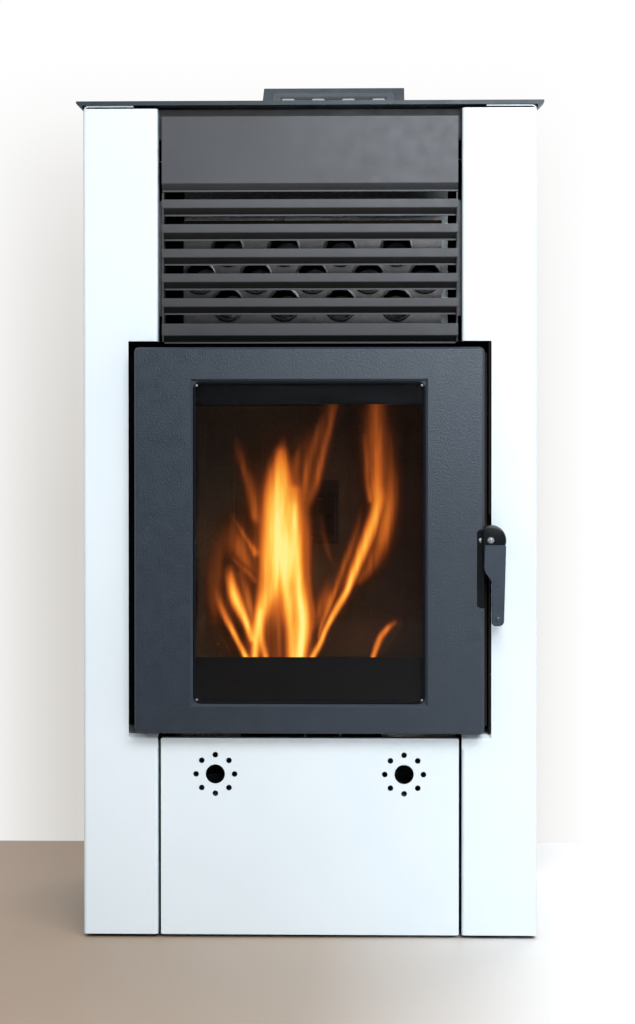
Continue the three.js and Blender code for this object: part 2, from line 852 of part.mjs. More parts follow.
// Legs from the firebox down to the base tray, one at each side behind the ledge.
const legInner = fireboxHalfWidth + 8;
const legFront = ledgeDepth + 6;
const legs = [-1, 1].flatMap((side) => {
  const [low, high] = side > 0 ? [legInner, legInner + 4] : [-legInner - 4, -legInner];
  const [webLow, webHigh] = side > 0 ? [fireboxHalfWidth - 4, high] : [low, -fireboxHalfWidth + 4];
  return [
    box(low, high, legFront, fireboxRear - 4, baseTop + fitGap, fireboxBottom + fireboxWall),
    box(webLow, webHigh, legFront, fireboxRear - 4, fireboxBottom, fireboxBottom + fireboxWall),
  ];
});
const firebox = cut(
  fuse(
    box(-fireboxHalfWidth, fireboxHalfWidth, fireboxFront, fireboxRear, fireboxBottom, fireboxTop),
    box(
      -fireboxFlangeHalf,
      doorHalfWidth + latchFlangeReach,
      fireboxFront,
      fireboxFront + fireboxWall,
      flangeBottom,
      flangeTop,
    ),
    box(...grow(gasPort, 6), fireboxTop - 1, exchangerBottom - fitGap),
    ...legs,
  ),
  box(
    -fireboxHalfWidth + fireboxWall,
    fireboxHalfWidth - fireboxWall,
    fireboxFront + fireboxWall,
    fireboxRear - fireboxWall,
    fireboxBottom + fireboxWall,
    fireboxTop - fireboxWall,
  ),
  extrude("y", fireOpening, fireboxFront - 1, fireboxFront + fireboxWall + 1, 4),
  box(
    -ashSlotHalfWidth,
    ashSlotHalfWidth,
    ashSlotFront,
    ashSlotRear,
    fireboxBottom - 1,
    fireboxBottom + fireboxWall + 1,
  ),
  box(...gasPort, fireboxTop - fireboxWall - 1, exchangerBottom),
  box(-chuteHalfWidth, chuteHalfWidth, fireboxRear - 10, fireboxRear + 1, chuteMouthZ - 2, chuteMouthZ + 70),
  rod("y", intakeX, intakeRiseZ, intakeRadius + 1, fireboxRear - 10, fireboxRear + 1),
  rod("y", flueX, exhaustPortZ, exhaustInlet - 6, fireboxRear - 10, fireboxRear + 1),
);
add("firebox", "blackPaint", firebox);

// Vermiculite back plate with vertical ribs, and the baffle that turns the flames.
const backPlateFront = fireboxRear - fireboxWall - fitGap - backPlateThickness;
const backPlateHalf = fireboxHalfWidth - fireboxWall - 2;
const backPlateTop = 640;
const backPlateBottom = fireboxBottom + fireboxWall + fitGap;
const backPlateRear = backPlateFront + backPlateThickness;
const ribCount = 9;
const ribPitch = (2 * backPlateHalf) / (ribCount + 0.2);
const ribs = [];
for (let i = 0; i < ribCount; i += 1) {
  const x = (i - (ribCount - 1) / 2) * ribPitch;
  const [low, high] = [backPlateBottom + 90, backPlateTop - 20];
  ribs.push(box(x - 5, x + 5, backPlateFront - 4, backPlateFront + 1, low, high));
}
const chutePort = box(
  -chuteHalfWidth - 4,
  chuteHalfWidth + 4,
  backPlateFront - 10,
  fireboxRear,
  chuteMouthZ - 6,
  chuteMouthZ + chuteHeight + 24,
);
add(
  "firebox_back_plate",
  "vermiculite",
  cut(
    fuse(
      box(
        -backPlateHalf,
        backPlateHalf,
        backPlateFront,
        backPlateRear,
        backPlateBottom,
        backPlateTop,
      ),
      ...ribs,
    ),
    chutePort,
    rod("y", intakeX, intakeRiseZ, intakeRadius + 3, backPlateFront - 10, fireboxRear),
    rod("y", flueX, exhaustPortZ, exhaustInlet - 4, backPlateFront - 10, fireboxRear),
  ),
);

const baffleProfile = outline([
  [fireboxFront + 40, 690],
  [fireboxFront + 40, 682],
  [backPlateRear, backPlateTop + fitGap],
  [backPlateRear, backPlateTop + 8 + fitGap],
]);
add("baffle_plate", "vermiculite", extrude("x", baffleProfile, -backPlateHalf, backPlateHalf));

// Burn pot, its holder and the igniter.
const holderTop = potBottom + potSeat;
const potTaper = 12;
const potUpper = [
  -potWidth / 2,
  potWidth / 2,
  potCentreY - potDepth / 2,
  potCentreY + potDepth / 2,
];
const potLower = grow(potUpper, -potTaper);
const potTop = potBottom + potHeight;
const potShell = stacked([
  [...potLower, potBottom],
  [...potUpper, holderTop - 1],
  [...potUpper, holderTop],
  [...potUpper, potTop],
]);
const potCavity = stacked([
  [...grow(potLower, -potWall), potBottom + potWall],
  [...grow(potUpper, -potWall), holderTop],
  [...grow(potUpper, -potWall), potTop + 1],
]);
const potRim = box(...grow(potUpper, 7), holderTop + fitGap, holderTop + 6);
const potHoles = [];
for (let row = 0; row < 2; row += 1) {
  for (let column = 0; column < 4; column += 1) {
    const x = (column - 1.5) * 22;
    const z = potBottom + 14 + row * 13;
    potHoles.push(rod("y", x, z, 3, potCentreY - potDepth, potCentreY + potDepth, 6));
    potHoles.push(rod("z", x, potCentreY + (row - 0.5) * 26, 3.5, potBottom - 1, potBottom + potWall + 1, 6));
  }
}
add("burn_pot", "castIron", cut(fuse(potShell, potRim), potCavity, ...potHoles));

const holderOpening = grow(potUpper, 1.5);
const holderFront = fireboxFront + fireboxWall + 12;
const holderRear = backPlateFront - fitGap;
const holderHalf = fireboxHalfWidth - fireboxWall - fitGap;
const holderSlotOuter = holderHalf - 18;
const holderSlotInner = potWidth / 2 + 30;
const holder = cut(
  fuse(
    box(-holderHalf, holderHalf, holderFront, holderRear, holderTop - holderThickness, holderTop),
    box(-holderHalf, -holderHalf + 4, holderFront, holderRear, backPlateBottom, holderTop),
    box(holderHalf - 4, holderHalf, holderFront, holderRear, backPlateBottom, holderTop),
  ),
  box(...holderOpening, backPlateBottom, holderTop + 1),
  box(-holderSlotOuter, -holderSlotInner, ashSlotFront, ashSlotRear, holderTop - 10, holderTop + 1),
  box(holderSlotInner, holderSlotOuter, ashSlotFront, ashSlotRear, holderTop - 10, holderTop + 1),
);
add("burn_pot_holder", "castIron", holder);

add(
  "igniter",
  "steel",
  rod("y", 34, potBottom + 8, 5, potCentreY + potDepth / 2 - 4, holderRear, 14),
);

// ---------------------------------------------------------------- pellet feed

// Places a solid drawn along +Z, from 0 up, on the inclined auger's axis.
function alongAuger(geometry, from) {
  const tilt = Math.atan2(-augerDirection.x, augerDirection.y);
  return geometry
    .rotateX(tilt)
    .translate(0, augerLowY + augerDirection.x * from, augerLowZ + augerDirection.y * from);
}

const augerLength = Math.hypot(augerHighY - augerLowY, augerHighZ - augerLowZ);
const augerInner = augerTubeRadius - augerTubeWall;
const neckInner = grow([-neckHalfWidth, neckHalfWidth, neckFront, neckBack], -hopperWall);
const chuteBody = outline([
  [fireboxRear - 14, chuteMouthZ],
  [fireboxRear + 8, chuteMouthZ + 4],
  [augerHighY - 6, chuteTopZ - 60],
  [augerHighY - 6, chuteTopZ + 14],
  [fireboxRear + 8, chuteTopZ + 14],
  [fireboxRear + 8, chuteMouthZ + 4 + chuteHeight],
  [fireboxRear - 14, chuteMouthZ + chuteHeight],
]);
const tubeCore = (radius, from, length) => alongAuger(rod("z", 0, 0, radius, 0, length, 20), from);
const chuteHalfOuter = chuteHalfWidth - fitGap;
add(
  "auger_tube",
  "steel",
  cut(
    fuse(
      tubeCore(augerTubeRadius, 0, augerLength),
      common(
        extrude("x", chuteBody, -chuteHalfOuter, chuteHalfOuter),
        box(-100, 100, fireboxRear - 30, augerHighY + 40, chuteMouthZ - 10, chuteTopZ + 40),
      ),
    ),
    tubeCore(augerInner, 3, augerLength - 6),
    extrude("x", outline([
      [fireboxRear - 16, chuteMouthZ + chuteWall],
      [fireboxRear + 8, chuteMouthZ + 4 + chuteWall],
      [augerHighY - 6 - chuteWall, chuteTopZ - 60 + chuteWall],
      [augerHighY - 6 - chuteWall, chuteTopZ + 14 - chuteWall],
      [fireboxRear + 8 + chuteWall, chuteTopZ + 14 - chuteWall],
      [fireboxRear + 8 + chuteWall, chuteMouthZ + 4 + chuteHeight - chuteWall],
      [fireboxRear - 16, chuteMouthZ + chuteHeight - chuteWall],
    ]), -chuteHalfOuter + chuteWall, chuteHalfOuter - chuteWall),
    box(...neckInner, augerLowZ + 10, hopperNeck),
    tubeCore(augerShaftRadius + 0.5, -1, 5),
  ),
);

// The screw: a shaft with one helical flight.
function augerScrew() {
  const length = augerLength - 12;
  const flightLength = length - 16;
  const turns = flightLength / augerPitch;
  const stepsPerTurn = 8;
  const steps = Math.round(turns * stepsPerTurn);
  const ring = (i) => {
    const angle = (i / stepsPerTurn) * Math.PI * 2;
    const z = 8 + (i / steps) * flightLength;
    return [
      [augerShaftRadius - 2, z - augerFlight / 2],
      [augerScrewRadius, z - augerFlight / 3],
      [augerScrewRadius, z + augerFlight / 3],
      [augerShaftRadius - 2, z + augerFlight / 2],
    ].map(([radius, height]) => [radius * Math.cos(angle), radius * Math.sin(angle), height]);
  };
  const positions = [];
  const quad = (a, b, c, d) => positions.push(...a, ...b, ...c, ...a, ...c, ...d);
  for (let i = 0; i < steps; i += 1) {
    const [here, next] = [ring(i), ring(i + 1)];
    for (let side = 0; side < 4; side += 1) {
      const other = (side + 1) % 4;
      quad(here[side], next[side], next[other], here[other]);
    }
  }
  const [first, last] = [ring(0), ring(steps)];
  quad(first[0], first[1], first[2], first[3]);
  quad(last[3], last[2], last[1], last[0]);
  const array = new Float32Array(positions);
  const flight = new THREE.BufferGeometry().setAttribute("position", new THREE.BufferAttribute(array, 3));
  return fuse(rod("z", 0, 0, augerShaftRadius, -4, length, 16), flight);
}
add("auger_screw", "steel", alongAuger(augerScrew(), 6));

const [gearHalfWidth, gearHalfDepth] = [gearboxWidth / 2, gearboxDepth / 2];
const gearbox = box(-gearHalfWidth, gearHalfWidth, -gearHalfDepth, gearHalfDepth, -gearboxLength, -fitGap);
const gearMotorEnd = -gearboxLength - gearMotorLength;
const gearMotor = rod("z", -gearMotorOffset, 0, gearMotorRadius, gearMotorEnd, 1 - gearboxLength, 20);
const gearBore = rod("z", 0, 0, augerShaftRadius + 1, -20, 1, 16);
add("auger_gearmotor", "blackPaint", alongAuger(cut(fuse(gearbox, gearMotor), gearBore), 0));

// Hopper: a box that narrows to the neck over the auger.
const hopperOuter = [
  [-neckHalfWidth, neckHalfWidth, neckFront, neckBack, augerLowZ + 20],
  [-neckHalfWidth, neckHalfWidth, neckFront, neckBack, hopperNeck],
  [-hopperHalfWidth, hopperHalfWidth, hopperFront, hopperBack, hopperShoulder],
  [-hopperHalfWidth, hopperHalfWidth, hopperFront, hopperBack, plateUnder - fitGap],
];
const hopperInner = hopperOuter.map(([x0, x1, y0, y1, z], i) => [
  x0 + hopperWall,
  x1 - hopperWall,
  y0 + hopperWall,
  y1 - hopperWall,
  z + [-1, 0, 0, 1][i],
]);
add(
  "pellet_hopper",
  "zinc",
  cut(stacked(hopperOuter), stacked(hopperInner), tubeCore(augerTubeRadius + fitGap, -40, augerLength + 80)),
);

// Safety grate across the hopper.
const grateZ = 850;
const grateBar = 4;
const grateRail = 5.7;
const grateHalf = hopperHalfWidth - hopperWall - fitGap;
const grateFront = hopperFront + hopperWall + fitGap;
const grateRear = hopperBack - hopperWall - fitGap;
const grateBars = [
  box(-grateHalf, grateHalf, grateFront, grateFront + grateRail, grateZ, grateZ + grateBar),
  box(-grateHalf, grateHalf, grateRear - grateRail, grateRear, grateZ, grateZ + grateBar),
];
const grateCount = 9;
for (let i = 0; i < grateCount; i += 1) {
  const x = -grateHalf + (2 * grateHalf * (i + 0.5)) / grateCount - grateBar / 2;
  grateBars.push(
    box(x, x + grateBar, grateFront + 2, grateRear - 2, grateZ, grateZ + grateBar),
  );
}
add("hopper_grate", "zinc", fuse(...grateBars));

// Hopper lid: a shallow pan with a finger lip at the front and two ears round the hinge pin.
const lidBottom = topPlateTop + fitGap;
const lidTop = lidBottom + lidHeight;
const lidPinZ = topPlateTop + lidHingeRise;
const lidCorner = 12;
const lidArea = [-lidHalfWidth, lidHalfWidth, lidFront, lidBack];
const lidPan = cut(
  extrude("z", rectangle(...lidArea, lidCorner), lidBottom, lidTop),
  extrude(
    "z",
    rectangle(...grow(lidArea, -lidSheet), lidCorner - lidSheet),
    lidBottom - 1,
    lidTop - lidSheet,
  ),
);
const lidLip = box(-50, 50, lidFront - 12, lidFront + 2, lidTop - 4, lidTop - 1);
const lidEars = [-60, 60].map((x) =>
  cut(
    fuse(
      rod("x", lidHingeY, lidPinZ, 6, x - 12, x + 12),
      box(x - 12, x + 12, lidBack - 3, lidHingeY, lidPinZ - 2, lidPinZ + 3),
    ),
    rod("x", lidHingeY, lidPinZ, lidPinRadius + 0.5, x - 13, x + 13, 12),
  ),
);
add("hopper_lid", "darkPlate", fuse(lidPan, lidLip, ...lidEars));

const hingeLeaf = box(-85, 85, lidHingeY + 4, casingDepth - 4, topPlateTop, topPlateTop + 2);
const hingeKnuckles = [-79, -41, 41, 79].map((x) =>
  fuse(
    rod("x", lidHingeY, lidPinZ, 5, x - 6, x + 6, 12),
    box(x - 6, x + 6, lidHingeY - 3, lidHingeY + 6, topPlateTop, lidPinZ),
  ),
);
const hingeRods = [-60, 60].map((x) => rod("x", lidHingeY, lidPinZ, lidPinRadius, x - 20, x + 20, 12));
add("lid_hinge", "zinc", fuse(hingeLeaf, ...hingeKnuckles, ...hingeRods));

// ---------------------------------------------------------------- control console

// The console is drawn level, with its sloping face at z = 0, then tilted into place.
const slopeAngle = Math.atan2(consoleSlopeRise, consoleSlopeRun);
const consoleBase = topPlateTop + fitGap;
const consoleProfile = outline([
  [consoleFront, consoleBase],
  [consoleFront + consoleSlopeRun + consoleBackRun, consoleBase],
  [consoleFront + consoleSlopeRun + consoleBackRun, consoleBase + consoleLip + consoleSlopeRise, 3],
  [consoleFront + consoleSlopeRun, consoleBase + consoleLip + consoleSlopeRise, 1.5],
  [consoleFront, consoleBase + consoleLip, 1.5],
]);
// Puts a solid drawn on the face (x across, y up the slope from its top edge, z outwards) in place.
function onFace(geometry) {
  return geometry
    .rotateX(slopeAngle)
    .translate(consoleCentre, consoleFront + consoleSlopeRun, consoleBase + consoleLip + consoleSlopeRise);
}

const consoleHalf = consoleWidth / 2;
const fasciaCorner = 5.7;
const fasciaArea = [
  -fasciaWidth / 2,
  fasciaWidth / 2,
  -fasciaTopMargin - fasciaLength,
  -fasciaTopMargin,
];
const recess = onFace(
  extrude(
    "z",
    rectangle(...grow(fasciaArea, fitGap), fasciaCorner + fitGap),
    -fasciaThickness - fitGap,
    5,
  ),
);
const keyClearance = 0.4;
const keyDepth = 6;
const keyCorner = 2.6;
const keyAreas = Array.from({ length: keyCount }, (_, i) => {
  const x = (i - (keyCount - 1) / 2) * keyPitch;
  return [x - keyWidth / 2, x + keyWidth / 2, -keyFromTop - keyLength, -keyFromTop];
});
const keyWells = keyAreas.map((area) =>
  onFace(
    extrude(
      "z",
      rectangle(...grow(area, keyClearance), keyCorner + keyClearance),
      -keyDepth - keyTravel - 1,
      5,
    ),
  ),
);
const displayArea = [
  -displayWidth / 2,
  displayWidth / 2,
  -displayFromTop - displayLength,
  -displayFromTop,
];
const displayDepth = 3;
const displayWell = onFace(box(...grow(displayArea, fitGap), -displayDepth, 5));
const consoleBlock = extrude(
  "x",
  consoleProfile,
  consoleCentre - consoleHalf,
  consoleCentre + consoleHalf,
);
add("console_housing", "slate", cut(consoleBlock, recess, ...keyWells, displayWell));
add(
  "console_fascia",
  "fascia",
  cut(
    onFace(
      extrude("z", rectangle(...fasciaArea, fasciaCorner), -fasciaThickness, 0),
    ),
    ...keyWells,
    displayWell,
  ),
);
add(
  "display_window",
  "blackGloss",
  onFace(box(...displayArea, -displayDepth + fitGap, 0.4)),
);
keyAreas.forEach((area, i) => {
  const key = extrude("z", rectangle(...area, keyCorner), -keyDepth, keyProud);
  add("key_" + (i + 1), "keyGrey", onFace(key));
});

// ---------------------------------------------------------------- door

const glassSeatHalf = windowHalfWidth + windowLip;
const glassSeatBottom = windowBottom - windowLip;
const glassSeatTop = windowTop + windowLip;
const rimHalf = glassSeatHalf + windowRim;
const rimBottom = glassSeatBottom - windowRim;
const rimTop = glassSeatTop + windowRim;
const rimRear = fireboxFront - fitGap - ropeHeight - fitGap;

const windowOutline = (grown, radius) =>
  rectangle(
    -windowHalfWidth - grown,
    windowHalfWidth + grown,
    windowBottom - grown,
    windowTop + grown,
    radius,
  );

// A block whose front edges are chamfered.
function chamferedBlock(x0, x1, z0, z1, front, depth, chamfer, radius) {
  const options = {
    depth: depth - 2 * chamfer,
    bevelEnabled: true,
    bevelThickness: chamfer,
    bevelSize: chamfer,
    bevelOffset: -chamfer,
    bevelSegments: 1,
    curveSegments: 3,
  };
  const geometry = new THREE.ExtrudeGeometry(rectangle(x0, x1, z0, z1, radius), options);
  return geometry
    .applyMatrix4(new THREE.Matrix4().makeBasis(...frames.y))
    .translate(0, front + depth - chamfer, 0);
}

const doorBlock = common(
  chamferedBlock(
    -doorHalfWidth,
    doorHalfWidth,
    doorBottom,
    doorTop,
    -doorProud,
    doorThickness + 10,
    doorChamfer,
    doorCornerRadius,
  ),
  box(-doorHalfWidth - 1, doorHalfWidth + 1, -doorProud - 1, doorRear, doorBottom - 1, doorTop + 1),
);
const rimOutline = (grown, radius) =>
  rectangle(-rimHalf - grown, rimHalf + grown, rimBottom - grown, rimTop + grown, radius);
const skinBack = -doorProud + doorSkin;
const rearHollow = cut(
  box(
    -doorHalfWidth + doorRim,
    doorHalfWidth - doorRim,
    skinBack,
    doorRear + 1,
    doorBottom + doorRim,
    doorTop - doorRim,
  ),
  extrude("y", rimOutline(0, 10), skinBack - 1, doorRear + 2),
);
const rimTrim = extrude("y", rimOutline(1, 10), rimRear, doorRear + 1);
// Chamfer round the window: a truncated pyramid that is wider at the front.
const windowFlare = 3;
const flareSections = [
  [windowFlare + 0.5, -doorProud - 0.5],
  [0, -doorProud + windowFlare],
];
const flare = stacked(
  flareSections
    .map(([grown, y]) => [
      -windowHalfWidth - grown,
      windowHalfWidth + grown,
      windowBottom - grown,
      windowTop + grown,
      -y,
    ])
    .reverse(),
).applyMatrix4(new THREE.Matrix4().makeBasis(...frames.y));

// Hinge: bosses with bores for the pin, and slots that let the fixed arms turn inside the rim.
const armLow = doorBottom + doorRim + 3;
const armHigh = doorTop - doorRim - 3 - hingeArmHeight;
const slotMargin = 1.5;
const hingeLevels = [
  { arm: armLow, rib: armLow + hingeArmHeight + slotMargin },
  { arm: armHigh, rib: armHigh - slotMargin - doorRim },
];
const doorHinges = hingeLevels.map(({ rib }) =>
  box(-doorHalfWidth + 1, -rimHalf + 1, skinBack - 1, doorRear - 4, rib, rib + doorRim),
);
const hingeSlots = hingeLevels.map(({ arm }) =>
  box(
    -doorHalfWidth - 1,
    hingeX + hingeArmHalfWidth + 3,
    hingeY - hingeArmHalfWidth - 2.2,
    doorRear + 1,
    arm - slotMargin,
    arm + hingeArmHeight + slotMargin,
  ),
);
const pinReach = 5;
const lowPin = [armLow - slotMargin - pinReach, armLow + hingeArmHeight + slotMargin + pinReach];
const highPin = [armHigh - slotMargin - pinReach, armHigh + hingeArmHeight + slotMargin + pinReach];
const pinBores = [lowPin, highPin].map(([from, to]) =>
  rod("z", hingeX, hingeY, hingePinRadius + hingeClearance, from - 0.5, to + 0.5, 20),
);
const hingeBosses = [
  rod("z", hingeX, hingeY, hingeBoss, doorBottom + 0.5, armLow - slotMargin, 20),
  rod("z", hingeX, hingeY, hingeBoss, armHigh + hingeArmHeight + slotMargin, doorTop - 0.5, 20),
];

// Notch for the handle's bracket in the right-hand margin, open to the hollow behind it.
const bracketLeft = doorHalfWidth - bracketWidth;
const bracketTop = handlePivotZ + bracketTopRise;
const bracketBottom = bracketTop - bracketHeight;
const bracketNotch = extrude(
  "y",
  outline([
    [bracketLeft - fitGap, bracketBottom - fitGap, 4],
    [doorHalfWidth + 5, bracketBottom - fitGap],
    [doorHalfWidth + 5, bracketTop + fitGap],
    [bracketLeft - fitGap, bracketTop + fitGap, 4],
  ]),
  -doorProud - 1,
  -bracketEarBack + 1,
);
const tongueSlot = box(
  doorHalfWidth - doorRim - 20,
  doorHalfWidth + 1,
  skinBack + 4,
  doorRear + 1,
  handlePivotZ - tongueWidth,
  handlePivotZ + tongueReach + 6,
);

const doorFrame = cut(
  fuse(cut(doorBlock, rearHollow, rimTrim), ...doorHinges, ...hingeBosses),
  extrude("y", windowOutline(0, windowCornerRadius), -doorProud - 1, doorRear + 1),
  flare,
  extrude("y", windowOutline(windowLip, 3), skinBack, doorRear + 1),
  ...hingeSlots,
  ...pinBores,
  bracketNotch,
  tongueSlot,
);
add("door_frame", "doorPaint", doorFrame);

const glassMargin = windowLip - 1.5;
const glassFront = skinBack + fitGap;
add(
  "door_glass",
  "glass",
  extrude("y", windowOutline(glassMargin, 3), glassFront, glassFront + glassThickness),
);

// A shape with a hole, both given as closed outlines.
function ringShape(outer, inner) {
  outer.holes.push(new THREE.Path(inner.getPoints(4).reverse()));
  return outer;
}

const retainerFront = glassFront + glassThickness + fitGap;
add(
  "glass_retainer",
  "blackPaint",
  extrude(
    "y",
    ringShape(windowOutline(glassMargin + 0.8, 2), windowOutline(2, windowCornerRadius)),
    retainerFront,
    retainerFront + retainerThickness,
  ),
);

const ropeMiddle = windowLip + windowRim / 2;
add(
  "door_rope_gasket",
  "rope",
  extrude(
    "y",
    ringShape(
      windowOutline(ropeMiddle + ropeWidth / 2, 9),
      windowOutline(ropeMiddle - ropeWidth / 2, 4),
    ),
    rimRear + fitGap,
    fireboxFront - fitGap,
  ),
);

// Hinge brackets: an arm from the firebox flange with an upright pin at its end.
hingeLevels.forEach(({ arm }, i) => {
  const [pinFrom, pinTo] = [lowPin, highPin][i];
  const bracket = fuse(
    rod("z", hingeX, hingeY, hingeArmHalfWidth + 0.4, arm, arm + hingeArmHeight, 20),
    box(
      hingeX - hingeArmHalfWidth,
      hingeX + hingeArmHalfWidth,
      hingeY,
      fireboxFront,
      arm,
      arm + hingeArmHeight,
    ),
    box(
      hingeX - hingeArmHalfWidth,
      -rimHalf - 14,
      fireboxFront - 3,
      fireboxFront,
      arm - 1,
      arm + hingeArmHeight + 1,
    ),
    rod("z", hingeX, hingeY, hingePinRadius, pinFrom, pinTo, 20),
  );
  add(["hinge_bracket_lower", "hinge_bracket_upper"][i], "steel", bracket);
});

// ---------------------------------------------------------------- handle and latch

const earBack = -bracketEarBack;
const earFront = hubBack + fitGap;
const earReach = handlePivotX + 10;
const earBottom = handlePivotZ - 12;
const handleBracket = cut(
  fuse(
    extrude(
      "y",
      outline([
        [bracketLeft, bracketBottom, 4],
        [doorHalfWidth - 0.5, bracketBottom],
        [doorHalfWidth - 0.5, bracketTop],
        [bracketLeft, bracketTop, 4],
      ]),
      -doorProud + 2,
      skinBack + 5,
    ),
    extrude(
      "y",
      outline([
        [doorHalfWidth - 4, earBottom],
        [earReach, earBottom, 9],
        [earReach, bracketTop, 9],
        [doorHalfWidth - 4, bracketTop],
      ]),
      earFront,
      earBack,
    ),
  ),
  rod("y", handlePivotX, handlePivotZ, hubShaftRadius + 0.4, earFront - 5, earBack + 20, 24),
);
add("handle_bracket", "blackPaint", handleBracket);

const tongueFront = sheet + fitGap + keeperThickness + 0.7;
const hubProfile = [
  [0, hubFront],
  [hubRadius - 3, hubFront],
  [hubRadius - 0.9, hubFront + 0.9],
  [hubRadius, hubFront + 3],
  [hubRadius, hubBack],
  [0, hubBack],
];
const hubDisc = turned("y", handlePivotX, handlePivotZ, hubProfile, 28);
// The disc is cut flat on the side of the door, clear of the bracket's screw.
const hubFlatX = handlePivotX - hubFlat;
const hubFlatCutter = box(
  hubFlatX - hubRadius,
  hubFlatX,
  hubFront - 1,
  hubBack + 1,
  handlePivotZ - hubRadius,
  handlePivotZ + hubRadius,
);
const hub = fuse(
  cut(hubDisc, hubFlatCutter),
  rod("y", handlePivotX, handlePivotZ, hubShaftRadius, hubBack - 1, tongueFront + tongueThickness, 24),
  box(
    handlePivotX - tongueWidth / 2,
    handlePivotX + tongueWidth / 2,
    tongueFront,
    tongueFront + tongueThickness,
    handlePivotZ,
    handlePivotZ + tongueReach,
  ),
);
add("handle_hub", "blackGloss", hub);

const leverTop = handlePivotZ - leverDrop;
const leverBottom = leverTop - leverLength;
const leverRight = handlePivotX + hubRadius - 0.6;
const leverStep = leverTop - 36.5;
const leverInner = leverRight - leverLean - leverLowerWidth;
const leverShape = outline([
  [leverInner, leverBottom, 5],
  [leverRight - leverLean, leverBottom, 6],
  [leverRight, leverTop, 2],
  [leverRight - leverUpperWidth + 1, leverTop, 1.5],
  [leverRight - leverUpperWidth, leverStep + 6, 14],
  [leverInner, leverStep - 6, 14],
]);
const leverOptions = {
  depth: leverThickness - 1.6,
  bevelEnabled: true,
  bevelThickness: 0.8,
  bevelSize: 0.8,
  bevelOffset: -0.8,
  bevelSegments: 1,
  curveSegments: 4,
};
const leverBlade = new THREE.ExtrudeGeometry(leverShape, leverOptions)
  .applyMatrix4(new THREE.Matrix4().makeBasis(...frames.y))
  .translate(0, hubFront - fitGap - 0.8, 0);
add("handle_lever", "leverPaint", leverBlade);

const keeperEdge = handlePivotX + tongueWidth / 2 + 1.5;
add(
  "latch_keeper",
  "steel",
  box(
    keeperEdge,
    keeperEdge + 26,
    sheet + fitGap,
    sheet + fitGap + keeperThickness,
    handlePivotZ + hubShaftRadius + 2,
    handlePivotZ + 32,
  ),
);

// ---------------------------------------------------------------- lower panel and ash drawer

const panelBottom = casingLift;
const panelSheet = cut(
  extrude("y", rectangle(-panelHalfWidth, panelHalfWidth, panelBottom, panelTop, 2), 0, panelReturn, 3),
  box(
    -panelHalfWidth + sheet,
    panelHalfWidth - sheet,
    sheet,
    panelReturn + 1,
    panelBottom + sheet,
    panelTop - sheet,
  ),
);
const rosettes = [];
for (const x of [-rosetteSpacing / 2, rosetteSpacing / 2]) {
  rosettes.push(rod("y", x, rosetteZ, rosetteHoleRadius, -1, sheet + 1, 28));
  for (let i = 0; i < rosetteDots; i += 1) {
    const angle = Math.PI / 2 + (i * 2 * Math.PI) / rosetteDots;
    const dotX = x + rosettePitchRadius * Math.cos(angle);
    const dotZ = rosetteZ + rosettePitchRadius * Math.sin(angle);
    rosettes.push(rod("y", dotX, dotZ, rosetteDotRadius, -1, sheet + 1, 10));
  }
}
add("lower_front_panel", "whitePaint", cut(panelSheet, ...rosettes));

const drawerFront = panelReturn + fitGap;
const drawerRear = drawerFront + drawerDepth;
const carrierHalf = panelHalfWidth - fitGap;
add(
  "ash_box",
  "steel",
  cut(
    fuse(
      box(-drawerHalfWidth, drawerHalfWidth, drawerFront, drawerRear, drawerBottom, drawerTop),
      box(-carrierHalf, carrierHalf, drawerFront, drawerFront + drawerWall, drawerBottom, drawerTop - 30),
    ),
    box(
      -drawerHalfWidth + drawerWall,
      drawerHalfWidth - drawerWall,
      drawerFront + drawerWall,
      drawerRear - drawerWall,
      drawerBottom + drawerWall,
      drawerTop + 1,
    ),
    box(-carrierHalf, carrierHalf, drawerFront - 1, drawerRear + 1, drawerTop - 30, drawerTop + 1),
  ),
);

// Drawer rails: angle runners beside the ash box, with their feet on the base tray.
const railInner = drawerHalfWidth + 0.5;
const railFloor = baseTop + fitGap;
const railProfile = sheetOutline(
  [
    [railInner + railWidth, railFloor],
    [railInner, railFloor],
    [railInner, railFloor + railHeight],
  ].reverse(),
);
const railFront = drawerFront + 10;
const rightRail = extrude("y", railProfile, railFront, drawerRear);
add("drawer_rail_right", "zinc", rightRail);
add("drawer_rail_left", "zinc", mirrored(rightRail));

// ---------------------------------------------------------------- fans, flue and air

// A fan's round chamber with its upright outlet duct, smaller all round by the inset.
function scroll([x, z], radius, [ductX0, ductX1, ductTop], [from, to], inset) {
  return fuse(
    rod("y", x, z, radius - inset, from + inset, to - inset, 24),
    box(ductX0 + inset, ductX1 - inset, from + inset, to - inset, z, ductTop - inset),
  );
}

